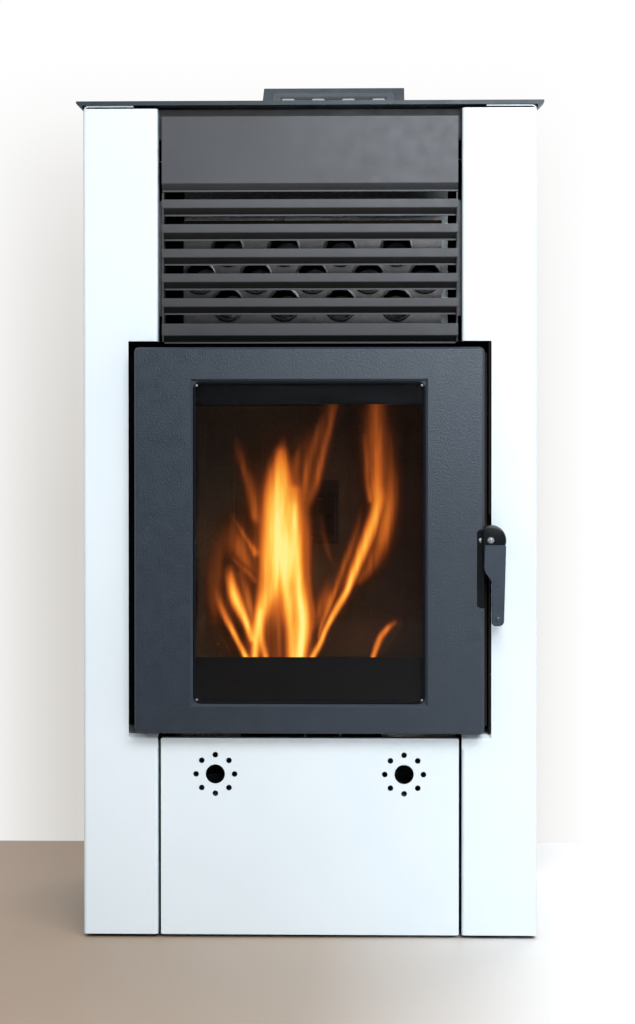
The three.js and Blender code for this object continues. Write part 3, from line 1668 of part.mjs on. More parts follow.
const exhaustBack = exhaustFront + exhaustDepth;
const exhaustDuct = [flueX - 45, flueX + exhaustRadius, flueZ + flueRadius + 6];
const exhaustScroll = (inset) =>
  scroll([flueX, exhaustZ], exhaustRadius, exhaustDuct, [exhaustFront, exhaustBack], inset);
const collectorHalf = 38;
add(
  "exhaust_fan_housing",
  "zinc",
  cut(
    fuse(
      exhaustScroll(0),
      // The collector that leads from the firebox port down to the fan's inlet.
      box(
        flueX - collectorHalf,
        flueX + collectorHalf,
        fireboxRear + fitGap,
        exhaustFront,
        exhaustZ - collectorHalf,
        exhaustPortZ + collectorHalf,
      ),
    ),
    box(
      flueX - collectorHalf + fanWall,
      flueX + collectorHalf - fanWall,
      fireboxRear + fitGap + fanWall,
      exhaustFront - fanWall,
      exhaustZ - collectorHalf + fanWall,
      exhaustPortZ + collectorHalf - fanWall,
    ),
    rod("y", flueX, exhaustPortZ, exhaustInlet - 6, fireboxRear, fireboxRear + fanWall + 2),
    exhaustScroll(fanWall),
    rod("y", flueX, exhaustZ, exhaustInlet, exhaustFront - fanWall - 1, exhaustFront + fanWall + 1),
    rod("y", flueX, exhaustZ, 7, exhaustBack - fanWall - 1, exhaustBack + 1, 16),
    rod("y", flueX, flueZ, flueRadius - 3, exhaustBack - fanWall - 1, exhaustBack + 1, 20),
  ),
);
add(
  "flue_spigot",
  "blackPaint",
  turned(
    "y",
    flueX,
    flueZ,
    [
      [flueRadius - 1.5, exhaustBack + fitGap],
      [flueRadius, exhaustBack + fitGap],
      [flueRadius, casingDepth + flueProud - 12],
      [flueRadius - 0.8, casingDepth + flueProud],
      [flueRadius - 2.3, casingDepth + flueProud],
      [flueRadius - 1.5, casingDepth + flueProud - 12],
      [flueRadius - 1.5, exhaustBack + fitGap],
    ],
    24,
  ),
);

// A wheel of blades round a hub, at the origin, with its open side at y = 0. The blades start at
// bladeInner; a ring ties their open ends together where they stand clear of the hub.
function wheel({ depth, hubR, radius, blades, bladeInner, lean, shaftLength }) {
  const parts = [
    rod("y", 0, 0, radius, depth - 3, depth, 20),
    rod("y", 0, 0, hubR, 4, depth, 12),
    rod("y", 0, 0, fanShaftRadius, depth - 1, depth + shaftLength, 12),
  ];
  for (let i = 0; i < blades; i += 1) {
    const blade = box(bladeInner, radius - 1, 0, depth - 1, -1, 1);
    blade.translate(-bladeInner, 0, 0).rotateY(lean).translate(bladeInner, 0, 0);
    parts.push(blade.rotateY((i * 2 * Math.PI) / blades));
  }
  if (bladeInner > hubR) {
    parts.push(cut(rod("y", 0, 0, radius, -2, 2, 20), rod("y", 0, 0, bladeInner, -3, 3, 20)));
  }
  return fuse(...parts);
}

const fanShaftRadius = 5;
const exhaustGap = 6;
const exhaustWheel = wheel({
  depth: exhaustDepth - 2 * (fanWall + exhaustGap),
  hubR: 14,
  radius: exhaustRadius - 18,
  blades: 8,
  bladeInner: 10,
  lean: 0.35,
  shaftLength: fanWall + exhaustGap + 8,
});
exhaustWheel.translate(flueX, exhaustFront + fanWall + exhaustGap, exhaustZ);
add("exhaust_impeller", "steel", exhaustWheel);
add(
  "exhaust_motor",
  "steel",
  cut(
    rod("y", flueX, exhaustZ, motorRadius, exhaustBack + fitGap, exhaustBack + motorLength, 20),
    rod("y", flueX, exhaustZ, fanShaftRadius + 0.4, exhaustBack, exhaustBack + 9, 16),
  ),
);

const roomFanBack = roomFanFront + roomFanDepth;
const roomFanWall = 2;
const roomFanDuct = [roomFanX - roomFanRadius, roomFanX + 20, roomFanZ + 120];
const roomFanScroll = (inset, duct = roomFanDuct) =>
  scroll([roomFanX, roomFanZ], roomFanRadius, duct, [roomFanFront, roomFanBack], inset);
const [ductLeft, ductRight, ductTop] = roomFanDuct;
const roomInlet = 45;
const roomFanFoot = (y) =>
  box(roomFanX - 60, roomFanX + 60, y, y + roomFanWall, baseTop + fitGap, roomFanZ);
add(
  "room_fan_housing",
  "zinc",
  cut(
    fuse(roomFanScroll(0), roomFanFoot(roomFanFront), roomFanFoot(roomFanBack - roomFanWall)),
    roomFanScroll(roomFanWall, [ductLeft, ductRight, ductTop + 2 * roomFanWall]),
    rod("y", roomFanX, roomFanZ, roomInlet, roomFanBack - 3, roomFanBack + 1, 20),
    rod("y", roomFanX, roomFanZ, 7, roomFanFront - 1, roomFanFront + 3, 16),
  ),
);
const roomFanGap = 8;
const roomWheel = wheel({
  depth: roomFanDepth - 2 * roomFanGap,
  hubR: 10,
  radius: roomFanRadius - 16,
  blades: 14,
  bladeInner: 48,
  lean: 0.5,
  shaftLength: roomFanGap + 12,
});
roomWheel.rotateZ(Math.PI).translate(roomFanX, roomFanBack - roomFanGap, roomFanZ);
add("room_fan_rotor", "zinc", roomWheel);
add(
  "room_fan_motor",
  "steel",
  cut(
    rod("y", roomFanX, roomFanZ, motorRadius, roomFanFront - motorLength + 15, roomFanFront - fitGap, 20),
    rod("y", roomFanX, roomFanZ, fanShaftRadius + 0.4, roomFanFront - 13, roomFanFront, 16),
  ),
);

// Combustion air pipe: in at the rear, up behind the drawer and into the firebox.
const intakePath = new THREE.CatmullRomCurve3(
  [
    new THREE.Vector3(intakeX, casingDepth + intakeProud, intakeZ),
    new THREE.Vector3(intakeX, casingDepth - 100, intakeZ),
    new THREE.Vector3(intakeX, fireboxRear + 98, intakeZ + 4),
    new THREE.Vector3(intakeX, fireboxRear + 60, intakeZ + 50),
    new THREE.Vector3(intakeX, fireboxRear + 44, intakeRiseZ - 18),
    new THREE.Vector3(intakeX, fireboxRear + 24, intakeRiseZ - 2),
    new THREE.Vector3(intakeX, fireboxRear + fitGap, intakeRiseZ),
  ],
  false,
  "centripetal",
);
const pipeShape = new THREE.Shape().absarc(0, 0, intakeRadius, 0, Math.PI * 2);
pipeShape.holes.push(circle(0, 0, intakeRadius - 2));
const intakeOptions = { steps: 12, extrudePath: intakePath, bevelEnabled: false, curveSegments: 6 };
add("air_intake_pipe", "zinc", new THREE.ExtrudeGeometry(pipeShape, intakeOptions));

// ---------------------------------------------------------------- electrics

const boardBottom = 400;
const boardTop = 600;
add(
  "control_board_box",
  "blackPaint",
  box(-trayHalf + fitGap, -trayHalf + 30, roomFanFront, casingDepth - 50, boardBottom, boardTop),
);
const switchZ = inletZ + 16;
const inletArea = [inletX - 14.5, inletX + 14.5, inletZ - 29.5, inletZ + 29.5];
const inletBlock = ([x0, x1, z0, z1], from, to) => box(x0, x1, from, to, z0, z1);
const inletBody = cut(
  fuse(
    inletBlock(inletArea, rearPanelY - 30, rearPanelY + 1),
    inletBlock(grow(inletArea, 3), rearPanelY + fitGap, rearPanelY + 3),
  ),
  box(inletX - 12, inletX + 12, rearPanelY - 18, rearPanelY + 4, inletZ - 26, inletZ - 6),
  box(inletX - 10.5, inletX + 10.5, rearPanelY - 10, rearPanelY + 4, switchZ - 7.5, switchZ + 7.5),
);
add("power_inlet", "blackGloss", inletBody);
const rockerProfile = outline([
  [rearPanelY - 7, switchZ - 5],
  [rearPanelY + 3, switchZ - 6],
  [rearPanelY + 5.5, switchZ + 6],
  [rearPanelY - 7, switchZ + 5],
]);
add("switch_rocker", "blackGloss", extrude("x", rockerProfile, inletX - 10, inletX + 10));

export default stove;
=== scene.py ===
import json
import math

import bmesh
import bpy
import numpy as np
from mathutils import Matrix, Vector


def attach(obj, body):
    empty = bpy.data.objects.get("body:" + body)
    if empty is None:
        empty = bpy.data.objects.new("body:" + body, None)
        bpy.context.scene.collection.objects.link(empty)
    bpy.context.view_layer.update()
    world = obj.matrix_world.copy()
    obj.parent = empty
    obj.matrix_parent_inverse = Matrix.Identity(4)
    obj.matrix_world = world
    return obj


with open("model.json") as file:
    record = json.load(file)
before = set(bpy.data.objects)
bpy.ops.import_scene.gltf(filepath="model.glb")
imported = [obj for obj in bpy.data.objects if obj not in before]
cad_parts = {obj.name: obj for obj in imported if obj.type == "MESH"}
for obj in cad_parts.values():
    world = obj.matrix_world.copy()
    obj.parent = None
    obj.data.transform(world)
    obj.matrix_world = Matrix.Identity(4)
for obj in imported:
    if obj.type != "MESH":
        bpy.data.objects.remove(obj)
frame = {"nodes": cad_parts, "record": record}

MM = 0.001
# The drawing's y = 0 is the front face of the side columns; this is its place in the row's frame.
FRONT = -0.2606

scene = bpy.context.scene
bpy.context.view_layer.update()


def point(x, y, z):
    """A place given in the drawing's millimetres, in the row's metres."""
    return Vector((x * MM, y * MM + FRONT, z * MM))


# ---------------------------------------------------------------- node helpers

MAP_SOCKETS = ("From Min", "From Max", "To Min", "To Max")
MIX_SHARE, MIX_FIRST, MIX_SECOND, MIX_RESULT = 0, 6, 7, 2
# Nearly all of a noise texture's values lie between these two.
NOISE_LOW, NOISE_HIGH = 0.3, 0.7


class Tree:
    """Short ways to add nodes to a shader tree."""

    def __init__(self, tree):
        self.tree = tree
        tree.nodes.clear()

    def add(self, kind):
        return self.tree.nodes.new("ShaderNode" + kind)

    def put(self, value, socket):
        """Links an output to a socket, or sets the socket to a number or an RGB colour."""
        if hasattr(value, "is_linked"):
            self.tree.links.new(value, socket)
        elif isinstance(value, tuple):
            socket.default_value = (*value, 1)
        else:
            socket.default_value = value

    def combined(self, operation, first, second):
        """The result of a Math node."""
        result = self.add("Math")
        result.operation = operation
        self.put(first, result.inputs[0])
        self.put(second, result.inputs[1])
        return result.outputs["Value"]

    def spread(self, value, low, high, start=NOISE_LOW, end=NOISE_HIGH):
        """Turns start to end into low to high, and holds the result beyond them."""
        spread = self.add("MapRange")
        for name, number in zip(MAP_SOCKETS, (start, end, low, high)):
            self.put(number, spread.inputs[name])
        self.put(value, spread.inputs["Value"])
        return spread.outputs["Result"]

    def seen(self, path):
        """1 for a Light Path's rays from the camera, a mirror or glass, and 0 for the others."""
        mirrored = self.combined(
            "MAXIMUM", path.outputs["Is Glossy Ray"], path.outputs["Is Transmission Ray"]
        )
        return self.combined("MAXIMUM", path.outputs["Is Camera Ray"], mirrored)


class Surface(Tree):
    """A material with a Principled shader, whose textures follow the object's own metres."""

    def __init__(self, name):
        self.material = bpy.data.materials.new(name)
        self.material.use_nodes = True
        super().__init__(self.material.node_tree)
        self.shader = self.add("BsdfPrincipled")
        self.put(self.shader.outputs["BSDF"], self.add("OutputMaterial").inputs["Surface"])
        self.where = self.add("TexCoord").outputs["Object"]

    def give(self, **values):
        """Sets or links the shader's inputs, such as Base_Color for the one named Base Color."""
        for name, value in values.items():
            self.put(value, self.shader.inputs[name.replace("_", " ")])

    def axis(self, letter, vector=None):
        """One coordinate of a vector, or of the place on the object."""
        split = self.add("SeparateXYZ")
        self.put(self.where if vector is None else vector, split.inputs["Vector"])
        return split.outputs[letter]

    def scaled(self, scale):
        mapping = self.add("Mapping")
        mapping.inputs["Scale"].default_value = scale
        self.put(self.where, mapping.inputs["Vector"])
        return mapping.outputs["Vector"]

    def noise(self, scale, detail=3, stretch=(1, 1, 1)):
        noise = self.add("TexNoise")
        self.put(scale, noise.inputs["Scale"])
        self.put(detail, noise.inputs["Detail"])
        self.put(self.scaled(stretch), noise.inputs["Vector"])
        return noise.outputs["Fac"]

    def cells(self, scale, stretch):
        cells = self.add("TexVoronoi")
        self.put(scale, cells.inputs["Scale"])
        self.put(self.scaled(stretch), cells.inputs["Vector"])
        return cells.outputs["Distance"]

    def ramp(self, value, stops):
        ramp = self.add("ValToRGB")
        elements = ramp.color_ramp.elements
        while len(elements) < len(stops):
            elements.new(0.5)
        for element, (place, colour) in zip(elements, stops):
            element.position = place
            element.color = (*colour, 1)
        self.put(value, ramp.inputs["Fac"])
        return ramp.outputs["Color"]

    def cloudy(self, value, low_colour, high_colour):
        """Runs from one colour to the other over a noise texture's values."""
        return self.ramp(value, [(NOISE_LOW, low_colour), (NOISE_HIGH, high_colour)])

    def mixed(self, share, first, second, blend="MIX"):
        mix = self.add("Mix")
        mix.data_type = "RGBA"
        mix.blend_type = blend
        self.put(share, mix.inputs[MIX_SHARE])
        self.put(first, mix.inputs[MIX_FIRST])
        self.put(second, mix.inputs[MIX_SECOND])
        return mix.outputs[MIX_RESULT]

    def dimmed(self, colour, brightness):
        """A colour times a brightness that varies over the surface."""
        return self.mixed(1.0, colour, self.mixed(brightness, (0, 0, 0), (1, 1, 1)), "MULTIPLY")

    def bump(self, height, depth):
        """Raises the surface by a texture, as deep as the given millimetres."""
        bump = self.add("Bump")
        self.put(depth * MM, bump.inputs["Distance"])
        self.put(1.0, bump.inputs["Strength"])
        self.put(height, bump.inputs["Height"])
        self.give(Normal=bump.outputs["Normal"])


# ---------------------------------------------------------------- camera

CAMERA_DISTANCE = 3.0
VIEW_HEIGHT = 1.2175
CAMERA_SIDE, CAMERA_HEIGHT = 0.095, 0.548
AIM_SIDE, AIM_HEIGHT = 0.0094, 0.508
SENSOR = 36

camera_data = bpy.data.cameras.new("camera")
camera_data.sensor_width = SENSOR
camera_data.lens = SENSOR * CAMERA_DISTANCE / VIEW_HEIGHT
camera = bpy.data.objects.new("camera", camera_data)
camera.location = (CAMERA_SIDE, FRONT - CAMERA_DISTANCE, CAMERA_HEIGHT)
turn = math.atan2(CAMERA_SIDE - AIM_SIDE, CAMERA_DISTANCE)
tilt = math.atan2(CAMERA_HEIGHT - AIM_HEIGHT, CAMERA_DISTANCE)
camera.rotation_euler = (math.pi / 2 - tilt, 0, turn)
scene.collection.objects.link(camera)
scene.camera = camera
scene.view_settings.view_transform = "Standard"


# ---------------------------------------------------------------- lamps

WHITE = (1.0, 1.0, 1.0)
DAYLIGHT = (0.9, 0.96, 1.0)
STOVE_MIDDLE = (0, -0.25, 0.6)


def area_light(name, place, size, power, colour=WHITE, target=STOVE_MIDDLE):
    """A rectangular lamp that faces its target, in metres and watts."""
    data = bpy.data.lights.new(name, "AREA")
    data.shape = "RECTANGLE"
    data.size, data.size_y = size
    data.energy = power
    data.color = colour
    light = bpy.data.objects.new(name, data)
    light.location = place
    aim = Vector(target) - Vector(place)
    light.rotation_euler = aim.to_track_quat("-Z", "Y").to_euler()
    scene.collection.objects.link(light)


area_light("key", place=(0.9, -2.7, 2.35), size=(2.0, 1.2), power=70)
area_light("front", place=(0.5, -3.3, 1.3), size=(0.7, 0.7), power=27, colour=DAYLIGHT)
area_light("fill", place=(-2.4, -2.2, 2.0), size=(1.2, 1.4), power=12, colour=(0.84, 0.94, 1.0))
area_light("rear", place=(0.6, 2.4, 2.4), size=(2.0, 1.2), power=40, target=(0, 0, 0.6))


# ---------------------------------------------------------------- room

# The camera sees a white backdrop. Mirrors and lit surfaces get a room that is pale around the
# stove and dark straight in front of it, where a direction's share of -y passes these values.
DARK_FROM, DARK_BEYOND = 0.55, 0.93
MIRRORED_PALE, MIRRORED_DARK = 1.0, 0.07
LIT_PALE, LIT_DARK = 0.5, 0.04

world = bpy.data.worlds.new("studio")
scene.world = world
world.use_nodes = True
sky = Tree(world.node_tree)
ahead = sky.add("VectorMath")
ahead.operation = "DOT_PRODUCT"
ahead.inputs[1].default_value = (0, -1, 0)
sky.put(sky.add("TexCoord").outputs["Generated"], ahead.inputs[0])


def away_from_front(pale, dark):
    """A brightness that falls from pale to dark towards the room in front of the stove."""
    return sky.spread(ahead.outputs["Value"], pale, dark, DARK_FROM, DARK_BEYOND)


def background(colour, strength):
    """A plain glow of the room."""
    shader = sky.add("Background")
    sky.put(colour, shader.inputs["Color"])
    sky.put(strength, shader.inputs["Strength"])
    return shader.outputs["Background"]


sky_path = sky.add("LightPath")
backdrop = sky.combined(
    "MAXIMUM", sky_path.outputs["Is Camera Ray"], away_from_front(MIRRORED_PALE, MIRRORED_DARK)
)
sky_mix = sky.add("MixShader")
sky.put(sky.seen(sky_path), sky_mix.inputs["Fac"])
sky.put(background(DAYLIGHT, away_from_front(LIT_PALE, LIT_DARK)), sky_mix.inputs[1])
sky.put(background(WHITE, backdrop), sky_mix.inputs[2])
sky.put(sky_mix.outputs["Shader"], sky.add("OutputWorld").inputs["Surface"])


# ---------------------------------------------------------------- kinds of material

# Texture scales are cells a metre, and depths and roundings are millimetres.
TONE_SCALE, SHEEN_SCALE = 7, 60
STREAK_SCALE, PATCH_SCALE = 160, 14
SOOT_SCALE = 9


def shaded(colour, factor):
    """A colour made darker or paler."""
    return tuple(min(1, channel * factor) for channel in colour)


def painted(name, colour, rough, metal=0.0, vary=0.08, grain=900, depth=0.03, coat=0.0, shine=0.5):
    """Sprayed paint: a slightly uneven tone over a fine orange-peel grain."""
    paint = Surface(name)
    paint.give(
        Base_Color=paint.cloudy(
            paint.noise(TONE_SCALE, 4), shaded(colour, 1 - vary), shaded(colour, 1 + vary)
        ),
        Roughness=paint.spread(paint.noise(SHEEN_SCALE), rough * 0.9, min(1, rough * 1.12)),
        Metallic=metal,
        Specular_IOR_Level=shine,
        Coat_Weight=coat,
        Coat_Roughness=0.12,
    )
    paint.bump(paint.noise(grain, detail=2), depth)
    return paint.material


def bare_metal(name, colour, rough, stretch=(1, 1, 12), spots=0.12, painted_shade_above=None):
    """Plain metal with drawn streaks and dull patches, that can turn black as painted shade
    between two heights.
    """
    metal = Surface(name)
    streak = metal.noise(STREAK_SCALE, 4, stretch)
    patch = metal.noise(PATCH_SCALE, 4)
    dullness = metal.spread(patch, low=0, high=spots * 4, start=0.45, end=0.75)
    tone = metal.cloudy(streak, shaded(colour, 0.82), shaded(colour, 1.12))
    tone = metal.mixed(dullness, tone, shaded(colour, 0.6))
    # Painted shade: from between the two heights upwards the tone turns black.
    if painted_shade_above:
        start, end = painted_shade_above
        shade_share = metal.spread(metal.axis("Z"), low=0, high=1, start=start, end=end)
        tone = metal.mixed(shade_share, tone, SOOT_AND_SHADE)
    metal.give(
        Base_Color=tone,
        Roughness=metal.spread(patch, rough * 0.8, min(1, rough * 1.35)),
        Metallic=1.0,
    )
    metal.bump(streak, depth=0.02)
    return metal.material


def sooted(name, clean, soot, rough=0.9, grain=240, depth=0.3):
    """A rough fireside surface, blackened in clouds."""
    crust = Surface(name)
    cloud = crust.noise(SOOT_SCALE, detail=6)
    tone = crust.ramp(cloud, [(0.35, soot), (0.75, clean)])
    speckles = crust.spread(crust.noise(grain * 2), low=0, high=0.5)
    crust.give(
        Base_Color=crust.mixed(speckles, tone, shaded(soot, 0.5)),
        Roughness=crust.spread(cloud, low=rough * 0.85, high=1.0),
    )
    crust.bump(crust.noise(grain, detail=5), depth)
    return crust.material


def ceramic_glass():
    """Faintly smoked glass."""
    pane = Surface("ceramic_glass")
    smoked, clear = (0.86, 0.83, 0.8), (0.97, 0.96, 0.95)
    pane.give(
        Base_Color=pane.ramp(pane.noise(scale=5), [(0.35, smoked), (0.75, clear)]),
        Roughness=pane.spread(pane.noise(scale=24), low=0.0, high=0.04),
        Transmission_Weight=1.0,
        IOR=1.22,
    )
    return pane.material


def louvre_paint():
    """Grille paint with painted shade: darker towards the lowest slats and on the undersides."""
    lowest_slat, highest_slat = 0.72, 0.885
    dark_grey, pale_grey = (0.052, 0.054, 0.061), (0.062, 0.065, 0.073)
    paint = Surface("louvre_paint")
    facing = paint.axis("Z", paint.add("NewGeometry").outputs["Normal"])
    # Painted shade: the tone is dimmed towards the lowest slats and on faces that point down.
    height = paint.spread(paint.axis("Z"), low=0.6, high=1, start=lowest_slat, end=highest_slat)
    underside_shade = paint.spread(facing, low=0.3, high=1, start=-0.6, end=-0.2)
    tone = paint.cloudy(paint.noise(TONE_SCALE, 4), dark_grey, pale_grey)
    paint.give(
        Base_Color=paint.dimmed(paint.dimmed(tone, height), underside_shade),
        Roughness=paint.spread(paint.noise(SHEEN_SCALE), low=0.36, high=0.45),
        Metallic=0.3,
    )
    paint.bump(paint.noise(MATT["grain"], detail=2), MATT["depth"])
    return paint.material


def braided_rope():
    """Dark glass-fibre rope with a fine weave."""
    strand, gap = (0.06, 0.058, 0.055), (0.012, 0.012, 0.012)
    fibre = Surface("braided_rope")
    weave = fibre.cells(scale=420, stretch=(1, 1, 0.6))
    fibre.give(
        Base_Color=fibre.ramp(weave, [(0.1, strand), (0.6, gap)]),
        Roughness=0.95,
        Sheen_Weight=0.2,
    )
    fibre.bump(weave, depth=0.8)
    return fibre.material


# ---------------------------------------------------------------- materials

# Black for the soot on the fireside steel, and for the painted shade above the exchanger's tubes.
SOOT_AND_SHADE = (0.012, 0.009, 0.007)
TUBE_STEEL = dict(colour=(0.10, 0.095, 0.095), rough=0.3, stretch=(1, 12, 1), spots=0.2)
GLOSS = dict(vary=0.03, grain=300, depth=0.008)
MATT = dict(grain=1100, depth=0.05)
SMOOTH = dict(vary=0.04, depth=0.01)

PAINTS = {
    "white_paint": dict(
        colour=(0.745, 0.83, 0.89), rough=0.34, vary=0.015, grain=700, depth=0.02, coat=0.15
    ),
    "dark_plate": dict(colour=(0.02, 0.032, 0.041), rough=0.38, metal=0.2),
    "door_paint": dict(
        colour=(0.011, 0.022, 0.038), rough=0.34, metal=0.25, vary=0.1, grain=520, depth=0.22,
        shine=0.75,
    ),
    "grille_paint": dict(MATT, colour=(0.056, 0.059, 0.067), rough=0.4, metal=0.3, vary=0.1),
    # The cross member's dark grey stands in for the shadow under the top plate: painted shade.
    "member_paint": dict(MATT, colour=(0.036, 0.032, 0.037), rough=0.5),
    "black_paint": dict(MATT, colour=(0.009, 0.009, 0.01), rough=0.6, depth=0.06, shine=0.12),
    "black_gloss": dict(GLOSS, colour=(0.01, 0.012, 0.015), rough=0.12, coat=0.5),
    "handle_black": dict(GLOSS, colour=(0.004, 0.006, 0.008), rough=0.2, shine=0.2),
    "display_black": dict(GLOSS, colour=(0.012, 0.018, 0.023), rough=0.4, shine=0.2),
    "pale_gloss": dict(GLOSS, colour=(0.2, 0.22, 0.25), rough=0.12, metal=0.2, coat=1.0),
    "lever_paint": dict(colour=(0.032, 0.046, 0.066), rough=0.3, metal=0.35, vary=0.1),
    "slate": dict(
        colour=(0.028, 0.041, 0.053), rough=0.5, vary=0.06, grain=1300, depth=0.05, shine=0.2
    ),
    "fascia": dict(SMOOTH, colour=(0.027, 0.041, 0.056), rough=0.42, shine=0.3),
    # The keys' grey is made paler than their own colour so they show as glints: partly a painted
    # highlight.
    "key_grey": dict(SMOOTH, colour=(0.28, 0.31, 0.33), rough=0.22),
    "enamel": dict(colour=(0.002, 0.0035, 0.006), rough=0.6, vary=0.05, depth=0.01, shine=0.1),
}
METALS = {
    "steel": dict(colour=(0.33, 0.33, 0.35), rough=0.36),
    "zinc": dict(colour=(0.52, 0.54, 0.56), rough=0.32, stretch=(1, 1, 1)),
    "tube_steel": TUBE_STEEL,
    # Over its tubes the exchanger is painted black as shade, from between these heights in metres.
    "exchanger_steel": dict(TUBE_STEEL, painted_shade_above=(0.850, 0.862)),
}
FIRESIDE = {
    "cast_iron": dict(clean=(0.03, 0.028, 0.026), soot=(0.008, 0.007, 0.006), rough=0.8),
    "vermiculite": dict(clean=(0.13, 0.09, 0.062), soot=(0.04, 0.028, 0.021)),
    "fire_steel": dict(clean=(0.05, 0.034, 0.026), soot=SOOT_AND_SHADE, rough=0.8, grain=150, depth=0.1),
}

materials = {
    "louvre_paint": louvre_paint(),
    "window_glass": ceramic_glass(),
    "rope": braided_rope(),
}
for make, looks in ((painted, PAINTS), (bare_metal, METALS), (sooted, FIRESIDE)):
    for name, look in looks.items():
        materials[name] = make(name, **look)

# These nodes wear another material than the one named as their record's slot.
NODE_LOOKS = {
    "heat_exchanger": "exchanger_steel",
    "firebox": "fire_steel",
    "glass_retainer": "fire_steel",
    "auger_tube": "fire_steel",
    "front_cross_member": "member_paint",
    "grille_louvres": "louvre_paint",
    "display_window": "display_black",
    "handle_bracket": "handle_black",
    "handle_hub": "handle_black",
}


# ---------------------------------------------------------------- edges and shading

WELD_GAP = 0.01 * MM
SMOOTH_BELOW = math.radians(32)
ROUND_ABOVE = math.radians(40)
FLAT_WEIGHT = 90
# Millimetres of rounding on the nodes whose sheet edges catch the light.
EDGE_ROUNDING = {
    "right_side_casing": 0.35,
    "left_side_casing": 0.35,
    "top_plate": 0.4,
    "lower_front_panel": 0.35,
    "door_frame": 0.5,
    "console_housing": 0.8,
    "grille_panel": 0.3,
    "grille_louvres": 0.35,
    "handle_bracket": 0.4,
    "hopper_lid": 0.4,
}


def smoothing_group():
    """Shades every edge smooth that bends less than the limit."""
    group = bpy.data.node_groups.new("smooth_by_angle", "GeometryNodeTree")
    for way in ("INPUT", "OUTPUT"):
        group.interface.new_socket("Geometry", in_out=way, socket_type="NodeSocketGeometry")
    start = group.nodes.new("NodeGroupInput")
    end = group.nodes.new("NodeGroupOutput")
    angle = group.nodes.new("GeometryNodeInputMeshEdgeAngle")
    bends_little = group.nodes.new("FunctionNodeCompare")
    bends_little.operation = "LESS_THAN"
    bends_little.inputs[1].default_value = SMOOTH_BELOW
    edges = group.nodes.new("GeometryNodeSetShadeSmooth")
    edges.domain = "EDGE"
    faces = group.nodes.new("GeometryNodeSetShadeSmooth")
    faces.domain = "FACE"
    join = group.links.new
    join(start.outputs[0], edges.inputs["Geometry"])
    join(angle.outputs["Unsigned Angle"], bends_little.inputs[0])
    join(bends_little.outputs["Result"], edges.inputs["Shade Smooth"])
    join(edges.outputs["Geometry"], faces.inputs["Geometry"])
    join(faces.outputs["Geometry"], end.inputs[0])
    return group


smooth_by_angle = smoothing_group()


def finish_edges(thing, rounding=0.0):
    """Welds a piece, rounds its sharp edges by some millimetres and shades the rest smooth."""
    weld = thing.modifiers.new("weld", "WELD")
    weld.merge_threshold = WELD_GAP
    if rounding:
        bevel = thing.modifiers.new("rounding", "BEVEL")
        bevel.width = rounding * MM
        bevel.segments = 2
        bevel.limit_method = "ANGLE"
        bevel.angle_limit = ROUND_ABOVE
    smooth = thing.modifiers.new("smooth", "NODES")
    smooth.node_group = smooth_by_angle
    flat = thing.modifiers.new("flat", "WEIGHTED_NORMAL")
    flat.mode = "FACE_AREA_WITH_ANGLE"
    flat.weight = FLAT_WEIGHT
    flat.keep_sharp = True


for row in frame["record"]["subparts"]:
    node = frame["nodes"][row["node"]]
    node.material_slots[0].material = materials[NODE_LOOKS.get(row["node"], row["material_slot"])]
    finish_edges(node, EDGE_ROUNDING.get(row["node"], 0))


# ---------------------------------------------------------------- piece helpers

# Points this many millimetres from an axis are one pole after a merge over this many metres.
POLE_RADIUS = 1e-5
MERGE_GAP = 1e-7


def piece(name, mesh, look, body, smooth=True):
    """Links a mesh as a piece of the object that moves with a body."""
    thing = bpy.data.objects.new(name, mesh)
    scene.collection.objects.link(thing)
    mesh.materials.append(materials[look])
    if smooth:
        finish_edges(thing)
    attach(thing, body)


def lathe(centres, profile, steps=48):
    """A closed profile of (radius, height) points turned about the -y axis through each centre."""
    mesh = bpy.data.meshes.new("lathe")
    shape = bmesh.new()
    count = len(profile)
    for x, y, z in centres:
        corners = []
        for i in range(steps):
            angle = 2 * math.pi * i / steps
            for radius, height in profile:
                place = point(
                    x + radius * math.cos(angle), y - height, z + radius * math.sin(angle)
                )
                corners.append(shape.verts.new(place))
        for i in range(steps):
            here, beside = i * count, (i + 1) % steps * count
            for k in range(count):
                up = (k + 1) % count
                ring = (here + k, beside + k, beside + up, here + up)
                shape.faces.new([corners[corner] for corner in ring])
    bmesh.ops.remove_doubles(shape, verts=shape.verts, dist=MERGE_GAP)
    bmesh.ops.recalc_face_normals(shape, faces=shape.faces)
    shape.to_mesh(mesh)
    shape.free()
    return mesh


def dome(radius, height, sink=0.4, steps=6):
    """The closed half-profile of a domed screw head, sunk a little into its seat."""
    profile = [(POLE_RADIUS, -sink), (radius, -sink)]
    for i in range(steps):
        angle = math.pi / 2 * i / steps
        profile.append((radius * math.cos(angle), height * math.sin(angle)))
    profile.append((POLE_RADIUS, height))
    return profile


